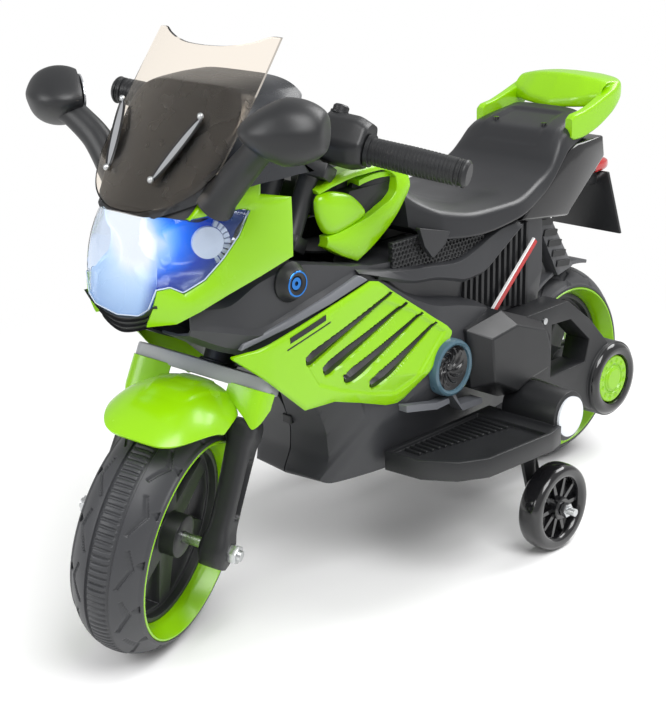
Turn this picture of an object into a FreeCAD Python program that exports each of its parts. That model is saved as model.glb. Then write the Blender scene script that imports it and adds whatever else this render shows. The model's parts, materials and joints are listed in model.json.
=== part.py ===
import FreeCAD, Part
import Sketcher
import math
import os
from types import SimpleNamespace

# Sizes in millimetres, angles in degrees; x forward, y to the rider's left, z up from the ground.

# Wheels and axles
tyre_r = 115.0
tyre_half = 33.0
tyre_drop = 17.0
tyre_bead_r = 90.0
tyre_bead_in = 2.0
rim_gap = 0.3
rim_wall = 5.7
rim_lip_r = 96.5
rim_lip_out = 35.5
rim_barrel_in = 0.3
web_ring = 5.0
web_ring_half = 16.0
web_half = 8.0
hub_r = 20.0
hub_half = 24.0
spoke_count = 6
spoke_w = 20.0
window_in_r = 27.0
axle_r = 5.0
running_fit = 0.06
seat_fit = 0.08
nut_r = 9.0
nut_len = 8.0
wheelbase = 598.5
rear_axle_x = -300.5
frame_shift = 4.463

# Steering
rake = 25.65
fork_offset = 22.5
rest_steer = 23.3
leg_y = 58.0
leg_r = 13.0
leg_tube_r = 10.0
leg_top = 118.0
leg_boss_r = 15.0
leg_out = 13.2
hub_gap = 0.5
crown_z = 146.0
crown_len = 12.0
crown_back = 16.0
crown_front = 34.0
crown_half = 67.0
crown_waist = 26.0
crown_side = 8.0
column_r = 11.0
bar_z = 382.0
bar_r = 9.0
bar_half = 176.0
low_yoke_z = 276.0
low_yoke_len = 14.0
low_yoke_half = 46.0
yoke_z = 346.0
yoke_len = 14.0
yoke_half = 54.0
yoke_depth = 15.0
riser_y = 34.0
riser_r = 9.5
clamp_half = 22.0
clamp_over = 14.0
head_r = 19.0
head_gap = 0.4
flange_len = 2.5
flange_r = 18.0
grip_r = 12.8
grip_from = 82.0
grip_end = 3.5
grip_fit = 0.2
box_from = 36.0
box_to = 80.0
box_half_x = 21.0
box_low = 20.0
box_high = 28.0
box_knob_r = 8.0
box_knob_len = 7.0
fender_gap = 16.0
fender_wall = 3.0
fender_flat = 15.0
fender_half = 48.0
fender_drop = 23.0
fender_from = 40.0
fender_to = 84.5
guard_gap = 0.4
guard_wall = 3.5
guard_top = 157.5
guard_low = 112.0
guard_back = 12.0
guard_in = 44.0
bush_wall = 4.0
bush_len = 14.0
button_r = 6.0
button_fit = 0.3
button_out = 5.0
button_in = 9.0
button_depth = 13.0

# Body
shell_wall = 3.5
nose_from = 100.0
tail_from = -160.0
steer_room = 1.0
half_gap = 0.1
panel_gap = 0.35
panel_out = 6.0
slot_wide = 15.0
slot_thin = 4.0
seat_wall = 3.2
tank_wall = 3.0
dash_gap = 0.4
dash_from = 22.0
dash_to = 78.0
dash_half = 30.0
dash_z = 401.0
dash_len = 8.0
dash_low = 362.0
dash_shoulder = 392.0
dash_wide = 46.0
switch_deep = 12.0
rocker_x = 42.0
rocker_half_w = 7.0
rocker_r = 10.0
rocker_pin = 1.6
rocker_fit = 0.4
rocker_pin_len = 2.2
rocker_out = 3.0
rocker_dip = 1.0

# Drive
gear_module = 1.5
drive_teeth = 60
small_teeth = 18
big_teeth = 48
pinion_teeth = 24
backlash = 0.35
train_angle = 32.3
drive_y = 41.0
drive_face = 6.0
drive_boss_r = 18.0
idler_pin_r = 3.0
small_over = 0.5
big_y = 49.0
big_face = 5.0
shaft_r = 2.0
shaft_end = 74.0
lid_y = 37.5
lid_len = 2.0
case_end = 58.5
case_wall = 2.0
case_room = 4.8
motor_r = 14.0
motor_gap = 0.3
motor_end = 98.0
arm_in = 60.0
arm_out = 92.0
ring_r = 43.0
ring_out = 96.0
cap_recess = 12.0
cap_r = 29.6
cap_fit = 0.4
cap_len = 6.0
spacer_r = 9.0

# Swinging arm
arm_front = 160.0
arm_knee = 85.0
arm_back = 42.0
arm_top = 111.0
arm_heel = 80.0
arm_low_front = 48.0
arm_low_knee = 10.0
arm_low_back = -28.0
arm_toe = 36.0

# Training wheels
train_x = -99.5
train_r = 46.0
train_y = 161.0
train_half = 13.0
train_web = 5.0
train_rim_in = 31.0
train_hub_r = 12.0
train_shoulder = 6.0
bolt_r = 4.0
bolt_end = 189.0
bolt_head = 4.0
bolt_head_r = 7.0
strut_y = 142.0
strut_wall = 4.0
strut_top = 112.0
strut_w = 24.0
strut_flange = 22.0
strut_shift = 20.0
train_nut_r = 7.5
train_nut_len = 6.0
foot_low = 116.0
foot_high = 136.0
foot_rim = 5.0
foot_deep = 4.0
foot_in = 76.2
foot_front = 66.0
foot_back = -100.0
foot_out = 173.0
boss_x = -121.0
boss_z = 139.0
boss_r = 26.0
boss_from = 96.0
boss_to = 162.0
disc_r = 21.0
disc_len = 3.0
disc_gap = 0.2
pedal_back = 2.0
pedal_front = 45.0
pedal_in = 92.0
pedal_out = 132.0
pedal_z = 139.0
pedal_len = 5.0
pedal_pin_r = 2.0
pedal_ear = 4.0
pedal_gap = 0.4

# Charging
socket_x = 24.0
socket_z = 298.0
socket_r = 7.0
socket_in = 58.0
socket_out = 76.0
socket_bore = 3.0
socket_deep = 12.0

# Covers
cover_y = 92.4
cover_out = 112.0
cover_wall = 3.0
vent_x = -16.0
vent_z = 204.0
vent_r = 20.0
vent_len = 5.0
vent_gap = 0.4
vent_dish = 14.0
vent_deep = 2.5

# Front
mask_back = 187.0
mask_wall = 4.0
joint = 0.4
lens_low = 330.0
lens_top = 407.0
lamp_x = 262.0
lamp_y = 34.5
lamp_z = 372.0
lamp_r = 19.0
lamp_len = 22.0
lamp_wall = 2.0
led_r = 6.0
plate_x = 240.0
plate_len = 4.0

# Windshield
glass_wall = 2.5
hood_wall = 3.0

# Mirrors
mirror_x = 256.0
mirror_y = 146.0
mirror_z = 486.0
mirror_yaw = 30.0
mirror_deep = 30.0
mirror_wide = 38.0
mirror_tall = 26.0
mirror_face = -18.0
mirror_glass = 2.0
mirror_inset = 0.9
stem_r = 10.0
stem_x = 252.0
stem_y = 64.0
stem_z = 400.0

# Tail
guard_in_r = 122.6
guard_out_r = 126.6
mud_half = 36.0
mud_from = 14.0
mud_to = 104.0
strut_in = 26.0
strut_out = 42.0
tail_half = 66.5
tail_wall = 3.0
handle_in = 65.6
handle_out = 74.0
slot_back = -348.0
slot_front = -326.0
slot_half = 46.0
lamp_tip = -404.0
lamp_root = -296.5
lamp_half = 13.0
lamp_low = 330.4
lamp_top = 350.0
plate_back = -381.0
plate_wall = 4.0
plate_low = 261.0
plate_high = 330.9
plate_low_w = 49.0
plate_high_w = 29.0
bracket_front = -273.0
bracket_half = 14.0
bracket_low = 316.0
bracket_high = 330.0

# Inside
cell_back = -58.0
cell_front = 42.0
cell_half = 35.0
cell_low = 117.1
cell_high = 186.0
board_back = -46.0
board_front = 30.0
board_half = 27.0
board_len = 6.0
seat_gap = 0.3
horn_x = 68.0
horn_z = 118.0
horn_r = 24.0
horn_len = 20.0
lead_r = 2.0
lead_bend = 9.0
screw_r = 3.5
screw_len = 2.0
screw_x = -172.0
screw_low = 185.0
screw_high = 214.0
V = FreeCAD.Vector
doc = FreeCAD.newDocument("ride_on_motorbike")
sheet = doc.addObject("Spreadsheet::Sheet", "Sizes")
S = SimpleNamespace()
ROWS = []
NODES = []


class Size:
    """A number together with the sheet formula that gives it."""

    def __init__(self, value, text):
        self.value = float(value)
        self.text = text

    def __float__(self):
        return self.value

    def __add__(self, other):
        other = as_size(other)
        return Size(self.value + other.value, "(%s + %s)" % (self.text, other.text))

    def __radd__(self, other):
        return as_size(other) + self

    def __sub__(self, other):
        other = as_size(other)
        return Size(self.value - other.value, "(%s - %s)" % (self.text, other.text))

    def __rsub__(self, other):
        return as_size(other) - self

    def __mul__(self, other):
        other = as_size(other)
        return Size(self.value * other.value, "(%s * %s)" % (self.text, other.text))

    def __rmul__(self, other):
        return as_size(other) * self

    def __truediv__(self, other):
        other = as_size(other)
        return Size(self.value / other.value, "(%s / %s)" % (self.text, other.text))

    def __neg__(self):
        return Size(-self.value, "(0 - %s)" % self.text)


def as_size(value):
    if isinstance(value, Size):
        return value
    return Size(value, "(%r)" % float(value))


def cell(name, value, note):
    """One named value on a line of its own in the sheet."""
    ROWS.append(name)
    row = len(ROWS)
    sheet.set("A%d" % row, name)
    sheet.set("B%d" % row, repr(value))
    sheet.setAlias("B%d" % row, name)
    sheet.set("C%d" % row, note)
    return Size(value, "Sizes." + name)


for name, value in list(globals().items()):
    if isinstance(value, (int, float)) and not name.startswith("_"):
        setattr(S, name, cell(name, value, "driving size"))


def stations(group, fields, rows):
    """A table of cross sections; every entry is a named value of the sheet."""
    made = []
    for number, row in enumerate(rows):
        entry = SimpleNamespace()
        for field, value in zip(fields, row):
            setattr(entry, field, cell("%s_%s_%s" % (group, "abcdefghijklmnop"[number], field), value, group))
        made.append(entry)
    return made


def bind(item, prop, size):
    size = as_size(size)
    setattr(item, prop, float(size))
    item.setExpression(prop, size.text)


def new_body(label):
    item = doc.addObject("PartDesign::Body", label)
    item.Label = label
    return item


def new_sketch(item, role, offset):
    """Sketch on one of the body's own origin planes, moved along its normal."""
    plane = [f for f in item.Origin.OriginFeatures if f.Role == role][0]
    sketch = item.newObject("Sketcher::SketchObject", item.Label + "_sketch")
    sketch.AttachmentSupport = [(plane, "")]
    sketch.MapMode = "FlatFace"
    offset = as_size(offset)
    sketch.AttachmentOffset = FreeCAD.Placement(V(0, 0, float(offset)), FreeCAD.Rotation())
    sketch.setExpression("AttachmentOffset.Base.z", offset.text)
    sketch.Visibility = False
    return sketch


def hold_point(sketch, geo, pos, x, y):
    for kind, axis, value in (("DistanceX", -2, as_size(x)), ("DistanceY", -1, as_size(y))):
        if value.value == 0.0:
            sketch.addConstraint(Sketcher.Constraint("PointOnObject", geo, pos, axis))
        else:
            number = sketch.addConstraint(Sketcher.Constraint(kind, -1, 1, geo, pos, value.value))
            sketch.setExpression("Constraints[%d]" % number, value.text)


def draw_outline(sketch, points, arc=None):
    """Closed outline; arc is (edge number, radius, point on the arc) for one round edge."""
    flat = [V(float(x), float(y), 0) for x, y in points]
    count = len(flat)
    first = sketch.GeometryCount
    heads = []
    for i in range(count):
        start, end = flat[i], flat[(i + 1) % count]
        if arc and arc[0] == i:
            through = V(float(arc[2][0]), float(arc[2][1]), 0)
            forward = (through - start).cross(end - through).z > 0
            ends = (start, end) if forward else (end, start)
            sketch.addGeometry(Part.Arc(ends[0], through, ends[1]), False)
            heads.append((1, 2) if forward else (2, 1))
        else:
            sketch.addGeometry(Part.LineSegment(start, end), False)
            heads.append((1, 2))
    for i in range(count):
        after = (i + 1) % count
        sketch.addConstraint(
            Sketcher.Constraint("Coincident", first + i, heads[i][1], first + after, heads[after][0]))
    for i in range(count):
        hold_point(sketch, first + i, heads[i][0], *points[i])
    if arc:
        radius = as_size(arc[1])
        number = sketch.addConstraint(Sketcher.Constraint("Radius", first + arc[0], radius.value))
        sketch.setExpression("Constraints[%d]" % number, radius.text)


def draw_circle(sketch, x, y, radius):
    radius = as_size(radius)
    circle = Part.Circle(V(float(x), float(y), 0), V(0, 0, 1), radius.value)
    geo = sketch.addGeometry(circle, False)
    hold_point(sketch, geo, 3, x, y)
    number = sketch.addConstraint(Sketcher.Constraint("Radius", geo, radius.value))
    sketch.setExpression("Constraints[%d]" % number, radius.text)


def pad(item, sketch, length):
    made = item.newObject("PartDesign::Pad", item.Label + "_pad")
    made.Profile = sketch
    bind(made, "Length", length)
    return made


def pocket_through(item, sketch):
    made = item.newObject("PartDesign::Pocket", item.Label + "_pocket")
    made.Profile = sketch
    made.Type = "ThroughAll"
    made.Midplane = True
    return made


def pocket_deep(item, sketch, depth, flip):
    made = item.newObject("PartDesign::Pocket", item.Label + "_pocket")
    made.Profile = sketch
    bind(made, "Length", depth)
    made.Reversed = flip
    return made


def turn(item, sketch, angle=360.0, flip=False):
    made = item.newObject("PartDesign::Revolution", item.Label + "_turn")
    made.Profile = sketch
    made.ReferenceAxis = (sketch, ["V_Axis"])
    bind(made, "Angle", angle)
    made.Reversed = flip
    return made


def pad_y(label, points, y_from, y_to):
    """Side outline (x, z) drawn as a body between two planes across Y."""
    item = new_body(label)
    sketch = new_sketch(item, "XZ_Plane", -as_size(y_to))
    draw_outline(sketch, points)
    pad(item, sketch, as_size(y_to) - y_from)
    return item


def pad_z(label, points, z_from, z_to):
    """Plan outline (x, y) drawn as a body between two heights."""
    item = new_body(label)
    sketch = new_sketch(item, "XY_Plane", z_from)
    draw_outline(sketch, points)
    pad(item, sketch, as_size(z_to) - z_from)
    return item


def turned_y(label, points, arc=None):
    """Profile (radius, y) turned about the Y axis."""
    item = new_body(label)
    sketch = new_sketch(item, "XY_Plane", 0)
    draw_outline(sketch, points, arc)
    turn(item, sketch)
    return item


def turned_z(label, points):
    """Profile (radius, z) turned about the Z axis."""
    item = new_body(label)
    sketch = new_sketch(item, "XZ_Plane", 0)
    draw_outline(sketch, points)
    turn(item, sketch)
    return item


def place(item, x, y, z):
    for axis, size in zip("xyz", (x, y, z)):
        size = as_size(size)
        setattr(item.Placement.Base, axis, float(size))
        item.setExpression("Placement.Base." + axis, size.text)
    return item


def rod(label, radius, length, axis):
    """Plain cylinder from its own origin along one axis."""
    item = doc.addObject("Part::Cylinder", label)
    bind(item, "Radius", radius)
    bind(item, "Height", length)
    item.Placement = FreeCAD.Placement(V(0, 0, 0), FreeCAD.Rotation(V(0, 0, 1), axis))
    return item


def block(label, x, y, z):
    """Box between two values on every axis."""
    item = doc.addObject("Part::Box", label)
    for prop, pair in (("Length", x), ("Width", y), ("Height", z)):
        bind(item, prop, as_size(pair[1]) - pair[0])
    place(item, x[0], y[0], z[0])
    return item


def cut(label, base, tool):
    item = doc.addObject("Part::Cut", label)
    item.Label = label
    item.Base = base
    item.Tool = tool
    item.Refine = False
    return item


def fuse(label, items):
    item = doc.addObject("Part::MultiFuse", label)
    item.Label = label
    item.Shapes = items
    item.Refine = False
    return item


def group(label, items):
    item = doc.addObject("Part::Compound", label)
    item.Label = label
    item.Links = items
    return item


def feature(label, shape):
    item = doc.addObject("Part::Feature", label)
    item.Label = label
    item.Shape = shape
    return item


def node(item):
    """Finished sub-part, moved along X so that the origin lies midway along the whole object."""
    held = dict((path.strip("."), text) for path, text in item.ExpressionEngine)
    place_x = held.get("Placement.Base.x", repr(item.Placement.Base.x))
    item.setExpression("Placement.Base.x", "%s + Sizes.frame_shift" % place_x)
    NODES.append(item)
    return item


def prism(points, axis, low, high):
    """Solid with a straight-sided outline: axis y takes (x, z), z takes (x, y), x takes (y, z)."""
    seat = {"x": lambda a, b: V(low, a, b), "y": lambda a, b: V(a, low, b), "z": lambda a, b: V(a, b, low)}
    way = {"x": V(high - low, 0, 0), "y": V(0, high - low, 0), "z": V(0, 0, high - low)}
    corners = [seat[axis](float(a), float(b)) for a, b in points]
    return Part.Face(Part.makePolygon(corners + corners[:1])).extrude(way[axis])


def loft(sections):
    """Straight-ruled solid through closed sections of equal point count."""
    wires = [Part.makePolygon(corners + corners[:1]) for corners in sections]
    return Part.makeLoft(wires, True, True)


def mirrored(shape):
    return shape.mirror(V(0, 0, 0), V(0, 1, 0))


def both(points):
    """Left half outline (y, z) from top or bottom centre, closed by its mirror image."""
    return points + [(-y, z) for y, z in reversed(points) if abs(y) > 1e-9]


# Road wheels: a moulded tyre, a coloured rim ring inside it and a black spoked centre.
rim_r = S.tyre_bead_r - S.rim_gap
rim_in = rim_r - S.rim_wall
web_out = rim_in - S.rim_gap
web_in = web_out - S.web_ring
bore_r = S.axle_r + S.running_fit


def road_tyre(label):
    edge = S.tyre_r - S.tyre_drop
    crown = (S.tyre_drop * S.tyre_drop + S.tyre_half * S.tyre_half) / (S.tyre_drop * 2)
    bead = S.tyre_half - S.tyre_bead_in
    points = [(S.tyre_bead_r, bead), (edge, S.tyre_half), (edge, -S.tyre_half), (S.tyre_bead_r, -bead)]
    return turned_y(label, points, (1, crown, (S.tyre_r, 0)))


def road_rim(label):
    side = S.tyre_half + S.rim_barrel_in
    lip = S.rim_lip_out
    return turned_y(label, [
        (rim_in, -lip), (S.rim_lip_r, -lip), (S.rim_lip_r, -side), (rim_r, -side),
        (rim_r, side), (S.rim_lip_r, side), (S.rim_lip_r, lip), (rim_in, lip)])


def road_centre(label):
    item = turned_y(label, [
        (bore_r, -S.hub_half), (S.hub_r, -S.hub_half), (S.hub_r, -S.web_half), (web_in, -S.web_half),
        (web_in, -S.web_ring_half), (web_out, -S.web_ring_half), (web_out, S.web_ring_half),
        (web_in, S.web_ring_half), (web_in, S.web_half), (S.hub_r, S.web_half),
        (S.hub_r, S.hub_half), (bore_r, S.hub_half)])
    far = web_in - 3
    side = S.spoke_w / 2
    reach = far - side * side / (far * 2)
    sketch = new_sketch(item, "XZ_Plane", 0)
    draw_outline(sketch, [
        (S.window_in_r * 0.866, S.window_in_r * 0.5), (reach, side), (far * 0.866, far * 0.5),
        (reach * 0.5 + side * 0.866, reach * 0.866 - side * 0.5)])
    window = pocket_through(item, sketch)
    item.Tip = window
    pattern = item.newObject("PartDesign::PolarPattern", label + "_pattern")
    pattern.Originals = [window]
    axis = [f for f in item.Origin.OriginFeatures if f.Role == "Y_Axis"][0]
    pattern.Axis = (axis, [""])
    pattern.Angle = 360
    pattern.Occurrences = int(S.spoke_count.value)
    pattern.setExpression("Occurrences", S.spoke_count.text)
    item.Tip = pattern
    return item


def hex_nut(label, y_from, y_to, bore, across):
    """Hexagon nut on the Y axis; across is the corner radius."""
    item = new_body(label)
    sketch = new_sketch(item, "XZ_Plane", -as_size(y_to))
    draw_outline(sketch, [
        (across, 0), (across * 0.5, across * 0.866), (across * -0.5, across * 0.866),
        (-across, 0), (across * -0.5, across * -0.866), (across * 0.5, across * -0.866)])
    draw_circle(sketch, 0, 0, bore)
    pad(item, sketch, as_size(y_to) - y_from)
    return item


# Steering frame: z runs up the steering axis, x forward, y to the rider's left.
rake_angle = math.radians(float(S.rake))
front_x = S.rear_axle_x + S.wheelbase
lean = math.asin(math.sin(rake_angle) * math.sin(math.radians(float(S.rest_steer))))
crown_arc = (float(S.tyre_drop) ** 2 + float(S.tyre_half) ** 2) / (2 * float(S.tyre_drop))
fork_rotation = FreeCAD.Rotation(V(0, 1, 0), -float(S.rake)).multiply(
    FreeCAD.Rotation(V(0, 0, 1), float(S.rest_steer)))
straight = FreeCAD.Rotation(V(0, 1, 0), -float(S.rake))
hub_shift = fork_rotation.multVec(V(float(S.fork_offset), 0, 0))
low_height = (float(S.tyre_r) - crown_arc) * math.cos(lean) + crown_arc
axis_x = float(front_x) - straight.multVec(V(float(S.fork_offset), 0, 0)).x
axis_foot = V(axis_x, 0, low_height - hub_shift.z)
FORK = FreeCAD.Placement(axis_foot, fork_rotation)
HEAD = FreeCAD.Placement(axis_foot, straight)
FRONT = FORK.multiply(FreeCAD.Placement(V(float(S.fork_offset), 0, 0), FreeCAD.Rotation()))
REAR = FreeCAD.Placement(V(float(S.rear_axle_x), 0, float(S.tyre_r)), FreeCAD.Rotation())


def put(item, placement):
    item.Placement = placement.multiply(item.Placement)
    return item


for name, spot in (("front", FRONT), ("rear", REAR)):
    node(put(road_tyre(name + "_tyre"), spot))
    node(put(road_rim(name + "_rim"), spot))
node(put(road_centre("front_spokes"), FRONT))

# Fork: crown, column and handlebar yoke in one stem, two legs, fender, axle and handlebar.
axle_seat = S.axle_r + S.seat_fit
boss_in = S.hub_half + S.hub_gap
boss_out = S.leg_y + S.leg_out
legs = []
for name, side in (("left", 1), ("right", -1)):
    lower = rod("leg_lower_" + name, S.leg_r, S.leg_top, V(0, 0, 1))
    place(lower, S.fork_offset, S.leg_y * side, 0)
    upper = rod("leg_tube_" + name, S.leg_tube_r, S.crown_z, V(0, 0, 1))
    place(upper, S.fork_offset, S.leg_y * side, 0)
    boss = rod("leg_boss_" + name, S.leg_boss_r, boss_out - boss_in, V(0, side, 0))
    place(boss, S.fork_offset, boss_in * side, 0)
    bore = rod("leg_bore_" + name, axle_seat, boss_out * 2, V(0, 1, 0))
    place(bore, S.fork_offset, -boss_out, 0)
    legs.append(cut("leg_" + name, fuse("leg_solid_" + name, [lower, upper, boss]), bore))
node(put(group("fork_legs", legs), FORK))

stem_plate = pad_z("stem_plate", [
    (S.crown_front, -S.crown_half), (S.crown_front, S.crown_half), (S.crown_side, S.crown_half),
    (-S.crown_back, S.crown_waist), (-S.crown_back, -S.crown_waist), (S.crown_side, -S.crown_half)],
    S.crown_z, S.crown_z + S.crown_len)
stem_tube = rod("stem_tube", S.column_r, S.yoke_z - S.crown_z, V(0, 0, 1))
place(stem_tube, 0, 0, S.crown_z)
stem_yoke = block("stem_yoke", (-S.yoke_depth, S.yoke_depth), (-S.low_yoke_half, S.low_yoke_half),
                  (S.low_yoke_z, S.low_yoke_z + S.low_yoke_len))
risers = []
for name, side in (("left", 1), ("right", -1)):
    low = S.low_yoke_z + S.low_yoke_len
    riser = rod("riser_" + name, S.riser_r, S.yoke_z - low, V(0, 0, 1))
    risers.append(place(riser, 0, S.riser_y * side, low))
yoke = block("yoke_plate", (-S.yoke_depth, S.yoke_depth), (-S.yoke_half, S.yoke_half),
             (S.yoke_z, S.yoke_z + S.yoke_len))
clamp = block("yoke_clamp", (-S.yoke_depth, S.yoke_depth), (-S.clamp_half, S.clamp_half),
              (S.yoke_z, S.bar_z + S.clamp_over))
bar_hole = rod("yoke_bore", S.bar_r + S.seat_fit, S.clamp_half * 4, V(0, 1, 0))
place(bar_hole, 0, S.clamp_half * -2, S.bar_z)
stem = fuse("stem_solid", [stem_plate, stem_tube, stem_yoke, yoke, clamp] + risers)
node(put(cut("steering_stem", stem, bar_hole), FORK))

bar = rod("bar_tube", S.bar_r, S.bar_half * 2, V(0, 1, 0))
place(bar, 0, -S.bar_half, S.bar_z)
node(put(group("handlebar", [bar]), FORK))

grips = []
boxes = []
for name, side in (("left", 1), ("right", -1)):
    end = S.bar_half + S.grip_end
    grip = turned_y("grip_" + name, [
        (S.bar_r + S.grip_fit, S.grip_from * side), (S.grip_r, S.grip_from * side), (S.grip_r, end * side),
        (0, end * side), (0, (S.bar_half + S.grip_fit) * side),
        (S.bar_r + S.grip_fit, (S.bar_half + S.grip_fit) * side)])
    grips.append(place(grip, 0, 0, S.bar_z))
    span = (S.box_from, S.box_to) if side > 0 else (-S.box_to, -S.box_from)
    shell = block("box_shell_" + name, (-S.box_half_x, S.box_half_x), span,
                  (S.bar_z - S.box_low, S.bar_z + S.box_high))
    knob = rod("box_knob_" + name, S.box_knob_r, S.box_knob_len, V(0, 0, 1))
    place(knob, 0, (S.box_from + S.box_knob_r + 2) * side, S.bar_z + S.box_high)
    hole = rod("box_bore_" + name, S.bar_r + S.seat_fit, S.box_to * 2, V(0, 1, 0))
    place(hole, 0, -S.box_to, S.bar_z)
    made = cut("box_" + name, fuse("box_solid_" + name, [shell, knob]), hole)
    if side > 0:
        well = rod("button_well", S.button_r + S.button_fit, S.button_depth, V(1, 0, 0))
        place(well, -S.box_half_x, (S.box_from + S.box_to) / 2, S.bar_z + S.box_high / 2 + S.button_r / 2)
        made = cut("box_with_well", made, well)
    boxes.append(made)
node(put(group("grips", grips), FORK))
node(put(group("switch_boxes", boxes), FORK))

button = rod("button_rod", S.button_r, S.button_out + S.button_in, V(1, 0, 0))
place(button, -S.box_half_x - S.button_out, (S.box_from + S.box_to) / 2,
      S.bar_z + S.box_high / 2 + S.button_r / 2)
node(put(group("horn_button", [button]), FORK))

fender_in = S.tyre_r + S.fender_gap
fender_out = fender_in + S.fender_wall
fender = new_body("fender_shell")
sketch = new_sketch(fender, "XY_Plane", 0)
draw_outline(sketch, [
    (fender_in, -S.fender_flat), (fender_out, -S.fender_flat), (fender_out, S.fender_flat),
    (fender_out - S.fender_drop, S.fender_half), (fender_in - S.fender_drop - 1, S.fender_half - 1.5),
    (fender_in, S.fender_flat - 1), (fender_in, 1 - S.fender_flat),
    (fender_in - S.fender_drop - 1, 1.5 - S.fender_half), (fender_out - S.fender_drop, -S.fender_half)])
turn(fender, sketch, S.fender_to - S.fender_from, True)
fender.Placement = FreeCAD.Placement(V(0, 0, 0), FreeCAD.Rotation(V(0, 1, 0), -float(S.fender_from)))
fender_parts = [fender]
for name, side in (("left", 1), ("right", -1)):
    ahead = S.leg_r + S.guard_gap
    out = S.leg_y + S.leg_r + S.guard_gap
    rim = out + S.guard_wall
    front = [(S.guard_in - 6, S.guard_low + 4), (S.guard_in, S.guard_low - 4), (rim - 12, S.guard_low),
             (rim, S.guard_low + 20), (rim, S.guard_top), (S.guard_in + 8, S.guard_top)]
    form = prism([(float(y) * side, z) for y, z in front], "x", float(ahead), float(ahead + S.guard_wall))
    fender_parts.append(feature("guard_front_" + name, form))
    ends = (out, rim) if side > 0 else (-rim, -out)
    fender_parts.append(pad_y("guard_side_" + name, [
        (ahead + S.guard_wall, S.guard_low + 6), (ahead + S.guard_wall, S.guard_top),
        (-S.guard_back, S.guard_top)],
        *ends))
node(put(fuse("front_fender", fender_parts), FRONT))


def axle(label, half, face, spot):
    """Plain rod with a nut against the face on each side."""
    items = [place(rod(label + "_rod", S.axle_r, half * 2, V(0, 1, 0)), 0, -half, 0)]
    items.append(hex_nut(label + "_nut_left", face, face + S.nut_len, axle_seat, S.nut_r))
    items.append(hex_nut(label + "_nut_right", -face - S.nut_len, -face, axle_seat, S.nut_r))
    return node(put(group(label, items), spot))


axle("front_axle", boss_out + S.nut_len + 3, boss_out, FRONT)

# Drive: motor pinion, double idler and a gear moulded on the rear hub, on the right hand side.
PRESSURE = math.radians(20)


def gear_solid(teeth, y_from, y_to, bore, phase):
    """Spur gear about Y: flanks are involutes of the base circle, sampled from root to tip;
    the tooth is half a pitch wide on the pitch circle less the backlash."""
    teeth = int(teeth.value)
    module = S.gear_module.value
    pitch = teeth * module / 2
    base = pitch * math.cos(PRESSURE)
    tip = pitch + 0.9 * module
    root = pitch - 1.2 * module
    start = max(base, root)
    half = (math.pi * module / 2 - S.backlash.value) / (2 * pitch)

    def roll(r):
        return math.sqrt(max((r / base) ** 2 - 1, 0)) - math.acos(min(base / r, 1))

    flank = [(start + (tip - start) * k / 4.0) for k in range(5)]
    sides = [(r, half + roll(pitch) - roll(r)) for r in flank]
    if root < base:
        sides.insert(0, (root, sides[0][1]))
    corners = []
    for k in range(teeth):
        mid = phase + 2 * math.pi * k / teeth
        corners += [(r, mid - a) for r, a in sides]
        corners += [(r, mid + a) for r, a in reversed(sides)]
    outline = [(r * math.cos(a), r * math.sin(a)) for r, a in corners]
    solid = prism(outline, "y", float(y_from), float(y_to))
    if bore is None:
        return solid
    return solid.cut(Part.makeCylinder(float(bore), 400, V(0, -200, 0), V(0, 1, 0)))


def drum(radius, y_from, y_to, x=0.0, z=0.0):
    low = min(float(y_from), float(y_to))
    high = max(float(y_from), float(y_to))
    return Part.makeCylinder(float(radius), high - low, V(float(x), low, float(z)), V(0, 1, 0))


train = math.radians(S.train_angle.value)
reach_idler = (S.drive_teeth.value + S.small_teeth.value) * S.gear_module.value / 2
reach_motor = reach_idler + (S.big_teeth.value + S.pinion_teeth.value) * S.gear_module.value / 2
idler_xz = (reach_idler * math.cos(train), reach_idler * math.sin(train))
motor_xz = (reach_motor * math.cos(train), reach_motor * math.sin(train))
IDLER = REAR.multiply(FreeCAD.Placement(V(idler_xz[0], 0, idler_xz[1]), FreeCAD.Rotation()))
MOTOR = REAR.multiply(FreeCAD.Placement(V(motor_xz[0], 0, motor_xz[1]), FreeCAD.Rotation()))

drive_end = S.drive_y + S.drive_face
centre = road_centre("rear_centre")
drive_gear = feature("drive_gear", gear_solid(S.drive_teeth, -drive_end, -S.drive_y, bore_r, train).fuse(
    drum(S.drive_boss_r, -S.drive_y, -S.hub_half).cut(drum(bore_r, -S.drive_y, -S.hub_half))))
node(put(fuse("rear_spokes", [centre, drive_gear]), REAR))

gap_small = math.pi / S.small_teeth.value
gap_big = math.pi / S.pinion_teeth.value
pin_bore = S.idler_pin_r + S.running_fit
idler = gear_solid(S.small_teeth, -drive_end - S.small_over, -S.drive_y + S.small_over, pin_bore,
                   train + math.pi + gap_small)
idler = idler.fuse(gear_solid(S.big_teeth, -S.big_y - S.big_face, -S.big_y, pin_bore, train))
hub = drum(S.idler_pin_r + 5, -S.big_y, -drive_end).cut(drum(pin_bore, -S.big_y, -drive_end))
node(put(feature("idler_gear", idler.fuse(hub)), IDLER))

pinion = gear_solid(S.pinion_teeth, -S.big_y - S.big_face - S.small_over, -S.big_y + S.small_over, None,
                    train + math.pi + gap_big)
pinion = pinion.fuse(drum(S.shaft_r, -S.shaft_end, -S.big_y))
node(put(feature("motor_pinion", pinion), MOTOR))

motor = drum(S.motor_r, -S.motor_end, -S.case_end - S.motor_gap)
motor = motor.cut(drum(S.shaft_r + S.running_fit, -S.shaft_end - 1, -S.case_end))
node(put(feature("motor", motor), MOTOR))


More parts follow.
